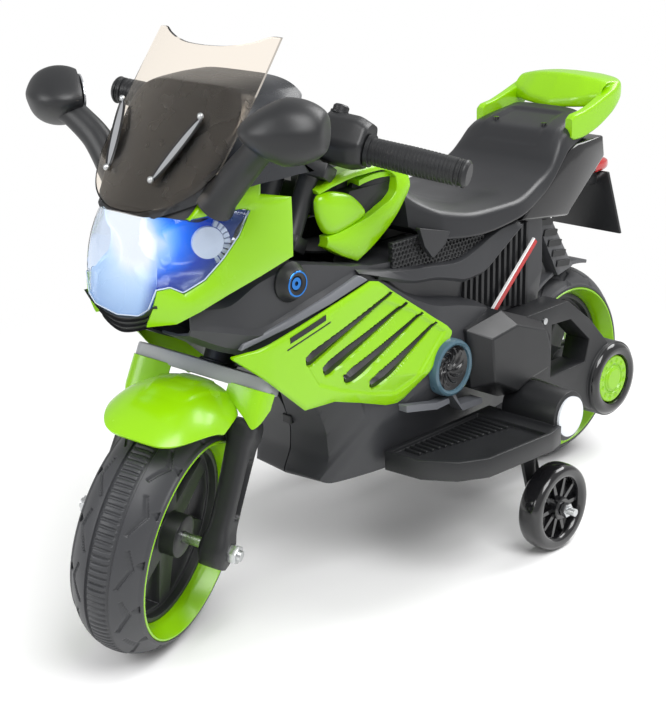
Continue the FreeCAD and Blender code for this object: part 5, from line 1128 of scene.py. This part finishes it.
def switch_box(side):
    """Two-part clamshell on the bar: rounded oblongs along the bar with a seam between the halves."""
    y = np.linspace(36, 81, 31)
    half = smooth(y, [36, 39, 60, 78, 81], [18.5, 21, 22, 21, 18])[:, 0]
    top = smooth(y, [36, 40, 66, 81], [22, 27, 28, 24])[:, 0]
    low = smooth(y, [36, 40, 66, 81], [-15, -19, -20, -16])[:, 0]
    ahead = [-half, -half * 0.55, half * 0.5, half * 0.95, half, half * 0.8, half * 0.3, -half * 0.7, -half]
    height = [low + 8, low, low, low + 12, 0 * half, top - 8, top, top, top - 10]
    corners = np.stack([np.stack(ahead, 1), np.stack(height, 1)], -1)
    ring = rounded(corners, 4.0, 5)
    seam = step(np.abs(ring[..., 1] - 3.0) - 0.9, 0.7)
    ring = ring * (1 - 0.06 * seam[..., None])
    return skin(np.stack([ring[..., 0], np.broadcast_to(y[:, None], ring.shape[:2]) * side, ring[..., 1] + BAR_UP], -1))


def button(radius, high, y):
    """Round push button on the box: a collar and a domed cap turned about the upright axis."""
    part = turned_solid([(0, 0), (radius + 1.5, 0), (radius + 1.5, 2.5), (radius, 3.0), (radius, high - 2),
                         (radius - 1.5, high - 0.5), (0, high)], 36)
    p = np.asarray(part[0]).reshape(-1, 3)
    return np.stack([p[:, 0], p[:, 2] + y, p[:, 1] + BOX_TOP], -1), part[1]


def grip(side):
    """Hand grip turned about the bar: a square wave of fine rings on a sleeve that swells by a bell curve, with a
    flange at the inner end, two grooves and a rounded outer end."""
    y = np.linspace(82.5, 179.3, 300)
    r = 12.2 + 0.45 * (np.sin(2 * np.pi * y / 3.6) > -0.2) + 0.6 * np.exp(-((y - 130) / 26) ** 2)
    r = np.where(y < 86.5, 15.0, r)
    r = np.where((y > 168) & (y < 170.2), 11.4, r)
    r = np.where((y > 173) & (y < 174.6), 11.8, r)
    r = np.where(y > 175, 13.0 - 0.5 * np.clip(y - 176, 0, 4) ** 1.5, r)
    rings = turned(np.c_[r, y * side], 40)
    return skin(np.moveaxis(rings, 0, 1) + [0, 0, BAR_UP])


# Seat surround and flank


# Rail's edges in the side view (x, z)
RAIL_TOP = [(96, 322), (63, 315), (38, 311), (-6, 306), (-49, 301), (-80, 308), (-104, 317), (-125, 322), (-150, 323)]
RAIL_LOW = [(70, 312), (42, 303), (15, 296), (-12, 293), (-40, 286), (-61, 281), (-87, 283), (-120, 300), (-152, 318)]


def seat_rail():
    """S-shaped rail: its outer face between two curves, with a slanting upper edge and a turned-in lower one."""
    top, low = bowed(RAIL_TOP, 81), bowed(RAIL_LOW, 81)
    lines = [np.c_[top[:, 0], np.full(81, w), top[:, 1] + rise] for w, rise in ((58, 4), (70, 2.5), (73.5, 0))]
    lines += [np.c_[low[:, 0], np.full(81, w), low[:, 1] + rise] for w, rise in ((76.5, 2), (74, -1.5), (58, -3))]
    return skin(np.stack(lines, 1))


CELL_PITCH, CELL_ROW, CELL_R, CELL_DEEP = 5.3, 4.6, 1.75, 2.4   # mm: along a row, between rows, radius, depth


def seat_mesh():
    """Grille between saddle and rail: a plate with round cells in staggered rows sunk into it."""
    x, s = np.meshgrid(np.linspace(44, -96, 281), np.linspace(0, 1, 71), indexing="ij")
    low = smooth(x[:, 0], [p[0] for p in RAIL_TOP], [p[1] for p in RAIL_TOP])[:, 0]
    z = low[:, None] + 1.0 + (338.0 - low[:, None]) * s
    half = CELL_PITCH / 2
    row = np.round(z / CELL_ROW)
    cell = np.hypot((x + half * (row % 2) + half) % CELL_PITCH - half, z - row * CELL_ROW)
    y = 69.5 - CELL_DEEP * step(cell - CELL_R, 0.7)
    return plate(x, y, 64.0, z)


FIN_PITCH, FIN_HIGH = 9.4, 4.0   # mm


def rear_fins():
    """Ribbed plate behind the rail: upright ribs of a rounded square wave."""
    x, s = np.meshgrid(np.linspace(-72, -182, 331), np.linspace(0, 1, 15), indexing="ij")
    low = np.interp(x, [-182, -120, -72], [224, 236, 256])
    top = np.interp(x, [-182, -150, -120, -72], [316, 316, 300, 284])
    z = low + (top - low) * s
    wave = np.abs(((x + 4) / FIN_PITCH) % 1.0 - 0.5)
    y = 59.5 + FIN_HIGH * step(wave - 0.24, 0.07)
    return plate(x, y, 56.0, z)


STRIP_THICK = 2.2   # mm


def slant_strip(shift, wide, lift):
    """Flat strip that leans back beside the ribs: an oblong along a slanting line, so far beside it and so wide."""
    a, b = np.array([-113.0, 230.0]), np.array([-186.0, 294.0])
    way = (b - a) / np.linalg.norm(b - a)
    across = np.array([way[1], -way[0]])
    corners = [a + across * shift, b + across * shift, b + across * (shift + wide), a + across * (shift + wide)]
    return pressed(corners, (lift - STRIP_THICK, lift), 0.6, 3)


def saddle_tab():
    """Pointed flap under the saddle's front corner: a rounded outline carried outwards."""
    return pressed([(16, 350), (8, 330), (-4, 316), (-22, 326), (-30, 338)], (74.0, 79.5), 2.0)


def flank_ledges():
    """Light ledges under the round vent: two bars with slanting ends, each a rounded outline carried outwards."""
    a = pressed([(54, 184), (8, 174), (-10, 174), (-12, 168), (8, 167), (54, 177)], (84.0, 94.8), 1.0)
    b = pressed([(-10, 182), (-16, 182), (-28, 162), (-64, 159), (-64, 153), (-32, 154)], (80.0, 95.0), 1.0)
    return join(a, b)


VENT_AT = (-14.0, 0.0, 205.0)   # mm, middle of the round vent


def round_plate(r, a, y, back):
    """Closed round plate about Y: face y over radius and angle, and a flat back."""
    top = np.stack([r * np.cos(a), y, r * np.sin(a)], -1)
    low = np.stack([r * np.cos(a), 0 * y + back, r * np.sin(a)], -1)
    return skin(np.concatenate([top, low[::-1]]))


def vent_ring():
    """Ring round the vent with a rolled rim: its profile (radius, place) turned about the vent's axis."""
    profile = [(22.6, 95.5), (23.6, 98.6), (25.8, 99.6), (28.0, 98.5), (29.2, 95.0), (29.2, 88.0), (22.6, 88.0)]
    return moved(turned_solid(profile, 72), VENT_AT)


def vent_dish():
    """Dish with five curved blades: depth follows the radius, and the blades rise along spirals."""
    r, a = np.meshgrid(np.linspace(0.3, 23, 47), circle(180), indexing="ij")
    blade = step(np.abs(np.sin(5 * (a + r * 0.07))) - 0.42, 0.5)
    swell = np.sin(np.pi * np.clip((r - 4) / 16, 0, 1))
    y = 90.5 + 6.0 * (r / 23) ** 2 + 2.6 * blade * swell + 3.0 * step(r - 4.2, 1.6)
    return moved(round_plate(r, a, y, 86.0), VENT_AT)


# Drive cover in the side view (x, z): its outline at the flank and on the outer face
COVER_BASE = [(-42, 236), (-98, 243), (-168, 216), (-184, 196), (-182, 158), (-128, 158), (-96, 150), (-50, 172)]
COVER_FACE = [(-57, 227), (-98, 232), (-148, 214), (-156, 192), (-152, 172), (-124, 168), (-100, 160), (-62, 180)]


def drive_cover():
    """Faceted cover: a wide outline at the flank joined by flat faces to a smaller outer one."""
    rings = [np.c_[[p[0] for p in ring], np.full(8, w), [p[1] for p in ring]]
             for ring, w in ((COVER_BASE, 66.0), (COVER_BASE, 91.0), (COVER_FACE, 113.0))]
    return skin(np.array(rings, float))


def hub_ring():
    """Black rim round the hub cap: its profile (radius, place) turned about the axle."""
    profile = [(27.8, 95.5), (29.0, 99.0), (33.0, 100.8), (38.0, 100.0), (41.5, 96.5), (42.0, 92.0), (42.0, 88.0),
               (27.8, 88.0)]
    return turned_solid(profile, 72)


DIMPLES, DIMPLE_RING = 12, 21.5   # how many, and the radius of their ring in mm


def hub_cap():
    """Cap over radius and angle: a raised middle, a groove round it, a ring of dimples and a rounded rim."""
    r, a = np.meshgrid(np.concatenate([[0.05], np.linspace(1, 27.2, 54)]), circle(192), indexing="ij")
    y = 97.5 + 1.6 * step(r - 12.5, 2.0) - 1.6 * step(np.abs(r - 16.2) - 1.2, 1.2)
    turn = (a * DIMPLES / (2 * np.pi)) % 1.0 - 0.5
    y = y - 1.5 * step(np.hypot((r - DIMPLE_RING), turn * 2 * np.pi * DIMPLE_RING / DIMPLES) - 2.3, 1.4)
    y = y - 1.5 * np.clip((r - 25.4) / 1.8, 0, 1) ** 2
    return round_plate(r, a, y, 93.0)


def foot_ribs():
    """Short ribs across the footrest, each a low trapezium carried outwards, longer towards the back."""
    made = []
    for k, x in enumerate(np.linspace(44, -66, 15)):
        long = 20.0 + 1.6 * k
        made.append(skin(np.array([
            [(x - 1.9, y, 131.5), (x - 1.1, y, 134.6), (x + 1.1, y, 134.6), (x + 1.9, y, 131.5)]
            for y in (84.0 + 0.1 * k, 84.0 + long)])))
    return join(*made)


def training_wheel():
    """Small wheel: a tyre of squared round section, a thin web and a hub, all turned about the axle, and ten tapered
    spokes that stand on both faces of the web."""
    a = circle(40)
    c, s = np.cos(a), np.sin(a)
    tread = np.c_[38.5 + 7.5 * square(c, 0.7), 13.0 * square(s, 0.7)]
    web = [(11.0, -2.0), (32.0, -2.0), (32.0, 2.0), (11.0, 2.0)]
    bore = 4.10
    hub = [(bore, -12.6), (10.8, -12.6), (12.0, -11.4), (12.0, 11.4), (10.8, 12.6), (bore, 12.6)]
    made = [turned_solid(tread, 96), turned_solid(web, 96), turned_solid(hub, 64)]
    for turn in circle(10):
        ahead, across = np.array([np.cos(turn), 0, np.sin(turn)]), np.array([-np.sin(turn), 0, np.cos(turn)])
        ends = [[ahead * r + across * w * half + np.array([0, y, 0]) for w, y in ((-1, -7), (1, -7), (1, 7), (-1, 7))]
                for r, half in ((11.0, 2.4), (32.5, 1.7))]
        made.append(skin(np.array(ends)))
    return join(*made)


# Tail


HANDLE_PATH = [(-252, 64.5, 404), (-270, 65, 405), (-296, 65.5, 411), (-326, 65, 422), (-352, 59, 432),
               (-364, 42, 438), (-368, 20, 440.5), (-369, 0, 441)]


def tail_handle():
    """Wrap-round handle: sections of a rounded outline along a path from the left arm round the back to
    the right arm; the blade grows from thin arms to a broad wing that points straight ahead."""
    half = bowed(HANDLE_PATH, 49)
    path = np.concatenate([half, half[-2::-1] * [1, -1, 1]])
    count = len(path)
    way = np.gradient(path, axis=0)
    way[:, 2] = 0
    way /= np.linalg.norm(way, axis=1, keepdims=True)
    inward = np.stack([way[:, 1], -way[:, 0], 0 * way[:, 0]], 1)
    inward = inward * np.sign((inward * (np.array([-250.0, 0, 0]) - path) * [1, 1, 0]).sum(1, keepdims=True))
    t = 1 - np.abs(np.linspace(-1, 1, count))
    ahead = smooth(t, [0, 0.38, 0.6, 1], [0, 0, 1, 1])
    inward = inward * (1 - ahead) + ahead * np.array([1.0, 0.0, 0.0])
    wide = smooth(t, [0, 0.25, 0.42, 0.55, 0.68, 0.8, 1], [9, 10, 14, 36, 54, 66, 72])[:, 0]
    tall = smooth(t, [0, 0.05, 0.3, 0.5, 0.65, 0.8, 1], [20, 27, 29, 24, 15, 11, 10])[:, 0]
    crest = smooth(t, [0, 0.45, 0.8, 1], [0, 0, 3, 4])[:, 0]
    drop = smooth(t, [0, 0.4, 0.6, 0.8, 1], [0, 0, 10, 19, 24])[:, 0]
    up = np.stack([-tall / 2, tall / 2 - 1, tall / 2 + crest * 0.8, tall / 2 + crest, tall / 2 - drop,
                   -tall / 2 - drop, -tall / 2 - drop * 0.35], 1)
    out = np.stack([0 * wide, 0 * wide, 0.3 * wide, 0.7 * wide, wide, wide, 0.5 * wide], 1)
    flat = rounded(np.stack([out, up], -1), np.minimum(tall, wide)[:, None, None] * 0.35, 5)
    rings = path[:, None] + flat[..., :1] * inward[:, None] + flat[..., 1:] * np.array([0.0, 0.0, 1.0])
    return skin(rings)


TIP_X, TIP_LONG = -352, 52.0   # mm, where the tail lamp starts to close, and over what length


def tail_lamp():
    """Black base and red tip: squared ovals along the length that close towards the tip by a root."""
    x = np.concatenate([np.linspace(-300, -350, 9), np.linspace(TIP_X, TIP_X - TIP_LONG, 25)])
    t = np.clip((TIP_X - x) / TIP_LONG, 0, 1)
    size = np.sqrt(np.clip(1 - t ** 2.6, 0.0025, 1))
    angle = circle(40)
    y = 27.0 * size[:, None] * square(np.cos(angle), 0.6)
    z = 340.4 - 3.0 * t[:, None] + 9.6 * size[:, None] * square(np.sin(angle), 0.6)
    rings = np.stack([np.broadcast_to(x[:, None], y.shape), y, z], -1)
    return skin(rings[:12]), skin(rings[11:])


def strut_notches():
    """Cross bars of the ladder strut between mudguard and tail: slanting plates in even steps along a line."""
    made = []
    top, low = np.array([-233.0, 311.0]), np.array([-280.0, 237.0])
    for t in np.linspace(0.14, 0.86, 5):
        mid = top + (low - top) * t
        made.append(pressed([mid + (-13, 2), mid + (-11, -5), mid + (13, -2), mid + (11, 5)], (41.0, 44.0), 1.0, 3))
    return join(*made)


# Lamp inside and screen fittings


DISC_AT, DISC_TURN = (266.0, 57.0, 384.0), -26.0   # mm, degrees: where the round reflector stands and faces


def lamp_disc():
    """Round silvered reflector set behind the lens: a dished profile turned about Y, and a row of tapered teeth
    round its rear side."""
    dish = turned_solid([(0, 0.4), (5, 0.8), (9, 1.8), (12.5, 3.4), (13.8, 3.4), (13.8, -1.0), (0, -1.0)], 48)
    teeth = []
    for a in np.radians(np.arange(-64, 80, 16)):
        way, across = np.array([-math.cos(a), 0, math.sin(a)]), np.array([math.sin(a), 0, math.cos(a)])
        ring = [way * r + across * w for r, w in ((14.4, -1.5), (19.5, -1.9), (19.5, 1.9), (14.4, 1.5))]
        teeth.append(skin(np.array([[p + (0, w, 0) for p in ring] for w in (-1.0, 2.6)])))
    return join(dish, *teeth)


def swung(part, degrees, spot):
    """Turned about the upright axis, then moved."""
    a = math.radians(degrees)
    p = np.asarray(part[0], float).reshape(-1, 3)
    spun = np.stack([p[:, 0] * math.cos(a) - p[:, 1] * math.sin(a),
                     p[:, 0] * math.sin(a) + p[:, 1] * math.cos(a), p[:, 2]], -1)
    return spun + np.asarray(spot, float), part[1]


def lens_rim():
    """Painted highlight along the lens's lower edge, where light gathers in the clear moulding: a thin pale round tube
    on that line.
    """
    return tube(whole(along(LENS_LOW, 61) + [0.6, 0.6, 0.4]), 0.6, 8)


def brow():
    """Dark ledge that closes the gap between the lens's top edge and the hood, ruled from edge to edge."""
    low = bowed([(308, 0, 408.4), (307, 23, 407.9), (303, 33, 408.4), (298, 40, 408.4), (291, 47, 407),
                 (282, 54, 405.5), (272, 57.5, 408)], 41)
    top = bowed([(298, 0, 418), (297, 16, 418), (290, 34, 422), (280, 44, 428), (268, 50, 437), (256, 54, 446),
                 (246, 57, 452)], 41)
    grid = whole(ruled(low, top, 9))
    return slab(grid, grid - [10.0, 0, 4.0])


SCREEN_OUT = np.array([0.72, 0.0, 0.69])   # square to the sheet, forward and up


def bracket_sides(ends, bow):
    """Both sides of a slim bracket on the screen: a straight line between its two screws, lifted off the sheet and
    bowed apart by a power of a sine."""
    a, b = np.array(ends[0], float), np.array(ends[1], float)
    t = np.linspace(0, 1, 25)[:, None]
    rails = [a * (1 - t) + b * t + SCREEN_OUT * 1.6 + np.array([0, bow * side, 0]) * np.sin(np.pi * t) ** 0.4
             for side in (-1, 1)]
    return rails


def bracket_frame(ends, bow):
    """Dark raised edge round the bracket: a round bar along each of its two sides."""
    return join(*[tube(rail, 1.2, 10) for rail in bracket_sides(ends, bow)])


def bracket_plate(ends, bow):
    """Bright strip inside the edge, ruled from side to side."""
    grid = ruled(*bracket_sides(ends, bow), 5)
    return slab(grid + 0.4 * SCREEN_OUT, grid - 0.8 * SCREEN_OUT)


def bead(spot, radius=3.2):
    """Domed screw head: a ball flattened along the length, whose two poles are opened by a hair."""
    a = np.linspace(0, np.pi, 13)
    turn = circle(20)
    rings = np.stack([np.broadcast_to(np.cos(a)[:, None], (13, 20)), np.sin(a)[:, None] * np.cos(turn),
                      np.sin(a)[:, None] * np.sin(turn)], -1) * radius * np.array([0.8, 1, 1])
    rings[[0, -1], :, 1:] += 1e-3 * np.stack([np.cos(turn), np.sin(turn)], -1)
    return skin(rings + np.asarray(spot, float))


# Pieces: name, form, finish, body it rides on, CAD nodes it stands for


camera()
studio()

tyre("front_tyre", "front_wheel", FRONT)
for name, place in (("front", FRONT), ("rear", REAR)):
    mesh(name + "_rim_ring", rim_ring(), LIME, name + "_wheel", [name + "_rim"], place=place,
         sharp=30)
tyre("rear_tyre", "rear_wheel", REAR)
mesh("fender", fender_dome(), LIME, "fork", ["front_fender"], place=FRONT, sharp=30, bevel=0.8)
mesh("fender_guards", sides(leg_guard()), LIME, "fork", ["front_fender"], place=FORK, bevel=0.8)
mesh("fork_crown_lip", fork_crown(), GREY, "fork", place=FORK, bevel=0.6)
mesh("fork_leg_covers", join(fork_leg(1), fork_leg(-1)), BLACK, "fork", ["fork_legs"], place=FORK,
     sharp=40)
mesh("cowl_cheeks", sides(cheek()), LIME, "chassis", ["front_cowl"], bevel=1.0, sharp=30)
mesh("lamp_lens", lens(), LENS, "chassis", ["headlight_lens"])
mesh("lamp_bowl", lamp_bowl(), GLOW, "chassis", ["headlight_reflectors", "headlight_leds"])
mesh("chin_ridges", chin(), BLACK, "chassis", ["chin_cover"], sharp=25)
mesh("screen", windshield(), SHEET, "chassis", ["windshield"])
mesh("screen_hood", hood(), HOOD, "chassis", ["dash_hood"], sharp=40)

mesh("body_shell_left", body_half(), DARK, "chassis", ["body_left"], sharp=24, bevel=1.2)
mesh("body_shell_right", other_side(body_half()), DARK, "chassis", ["body_right"], sharp=24, bevel=1.2)
mesh("panel_left", side_panel(), LIME, "chassis", ["side_panel_left"], sharp=28)
mesh("panel_right", other_side(side_panel()), LIME, "chassis", ["side_panel_right"], sharp=28)
# The louvre bars carry painted shade: a deeper black, so that the slots read as openings
mesh("panel_louvres", sides(louvre_bars()), DEEP_BLACK_AND_SHADE, "chassis", sharp=30)
mesh("panel_stripes", sides(stripe_bars()), DEEP_BLACK_AND_SHADE, "chassis")
mesh("neck_strips", sides(neck_strip()), MID, "chassis", bevel=1.0)
mesh("neck_bosses", sides(moved(neck_boss(), BOSS_AT)), BLACK, "chassis", sharp=30)
boss_rings = join(ring_round(10.3, 11.6, 2.9, 3.6), ring_round(2.2, 5.6, -0.3, 1.6))
mesh("neck_rings", sides(moved(boss_rings, BOSS_AT)), BLUE, "chassis")
mesh("nose_clip", block((114, 124), (-6, 6), (163, 172)), BLACK, "chassis", bevel=1.0)
mesh("tank_frames", sides(tank_frame()), LIME, "chassis", ["tank_cover"], bevel=2.2, sharp=30)
mesh("tank_domes", sides(tank_dome()), LIME, "chassis", ["tank_cover"], sharp=30)
mesh("tank_recesses", sides(tank_recess()), BLACK, "chassis", ["tank_cover"])
mesh("tank_top", tank_top(), LIME, "chassis", ["tank_cover"], sharp=30)
mesh("saddle", saddle(), SEAT, "chassis", ["seat"], sharp=40)
mesh("mirror_shells", sides(join(mirror_shell(), mirror_stem())), BLACK, "chassis", ["mirrors"],
     sharp=40)
mesh("bar_boxes", join(switch_box(1), switch_box(-1), button(7.5, 9, 46), button(7.5, 9, -46)), BLACK, "fork",
     ["switch_boxes"], place=FORK, sharp=40)
mesh("bar_grips", join(grip(1), grip(-1)), BLACK, "fork", ["grips"], place=FORK, sharp=30)

mesh("seat_rails", sides(seat_rail()), DARK, "chassis", sharp=30, bevel=1.2)
mesh("seat_grilles", sides(seat_mesh()), BLACK, "chassis", sharp=50)
mesh("rear_fin_plates", sides(rear_fins()), BLACK, "chassis", sharp=40)
mesh("slant_strips_red", sides(slant_strip(0.0, 5.0, 70.6)), RED, "chassis")
mesh("slant_strips_white", sides(slant_strip(5.4, 2.2, 70.4)), WHITE, "chassis")
mesh("saddle_tabs", sides(saddle_tab()), SEAT, "chassis", bevel=1.0)
screw_holes = [tube([(-246, y, 398), (-246, y, 407.6)], 3.2, 20) for y in (-32, 32)]
mesh("saddle_screw_holes", join(*screw_holes), GLOSS, "chassis")
mesh("flank_ledges", sides(flank_ledges()), MID, "chassis", bevel=1.0)
mesh("vent_rings", sides(vent_ring()), STEEL_BLUE, "chassis", ["round_vents"], sharp=40)
mesh("vent_dishes", sides(vent_dish()), GLOSS, "chassis", ["round_vents"], sharp=50)
mesh("drive_covers", sides(drive_cover()), BLACK, "chassis", ["motor_covers"], sharp=20, bevel=1.6)
mesh("hub_rims", sides(hub_ring()), GLOSS, "chassis", place=REAR, sharp=40)
mesh("hub_caps", sides(hub_cap()), LIME, "chassis", ["axle_caps"], place=REAR, sharp=40)
for name, place in zip(("left", "right"), TRAIN):
    own = "training_wheel_" + name
    mesh(own + "_spoked", training_wheel(), GLOSS, own, [own], place=place, sharp=40)
mesh("foot_ribs_left", foot_ribs(), BLACK, "chassis", bevel=0.5)
mesh("foot_ribs_right", other_side(foot_ribs()), BLACK, "chassis", bevel=0.5)
mesh("grab_handle", tail_handle(), LIME, "chassis", ["tail_handle"], sharp=50)
lamp_base, lamp_tip = tail_lamp()
mesh("tail_lamp_base", lamp_base, GLOSS, "chassis", ["tail_light"], sharp=40)
mesh("tail_lamp_tip", lamp_tip, RED, "chassis", ["tail_light"], sharp=40)
mesh("strut_bars", sides(strut_notches()), BLACK, "chassis", bevel=0.5)
mesh("lamp_discs", sides(swung(lamp_disc(), DISC_TURN, DISC_AT)), DISC, "chassis", sharp=30)
# A pale tube that paints the highlight along the lens edge
mesh("lens_edge_highlight", lens_rim(), LENS_EDGE_HIGHLIGHT, "chassis")
mesh("screen_brow", brow(), BLACK, "chassis")
# Screws of each bracket on the screen, low and high; how far its sides bow out, mm
BRACKETS, BRACKET_BOW = [((291, 21, 435), (248, 39, 484)), ((284, -46, 436), (237, -77, 486))], 5.0
bracket_edges = [bracket_frame(ends, BRACKET_BOW) for ends in BRACKETS]
bracket_strips = [bracket_plate(ends, BRACKET_BOW) for ends in BRACKETS]
bracket_screws = [bead(np.array(spot) + (2.5, 0, 2.0)) for ends in BRACKETS for spot in ends]
mesh("screen_brackets", join(*bracket_edges), DEEP_BLACK_AND_SHADE, "chassis")
mesh("screen_bracket_strips", join(*bracket_strips), CHROME, "chassis")
mesh("screen_screws", join(*bracket_screws), ZINC, "chassis")


# Finish of the CAD nodes that are kept, and the moulded edge radius in mm of those with soft edges
FINISH = {
    BLACK: ["swingarms", "footrest_left", "footrest_right", "front_spokes", "rear_spokes", "number_plate", "dash_panel",
            "gearbox_case", "steering_bushes", "accelerator_pedal", "drive_switch", "loudspeaker", "charge_socket",
            "idler_gear", "battery", "handlebar", "steering_stem", "training_struts", "wiring", "control_board"],
    BAND: ["rear_mudguard"],
    GLOSS: ["tail_cover"],
    SILVER: ["footrest_discs"],
    CHROME: ["mirror_glasses"],
    RED: ["horn_button"],
    ZINC: ["front_axle", "rear_axle", "training_bolts", "body_screws", "motor", "motor_pinion"],
}
SOFT_EDGES = {"tail_cover": 3.0, "footrest_left": 2.4, "footrest_right": 2.4, "swingarms": 1.6, "number_plate": 1.2}
PLAIN_EDGE = 0.8
for finish, names in FINISH.items():
    for name in names:
        dress(name, finish, SOFT_EDGES.get(name, PLAIN_EDGE))
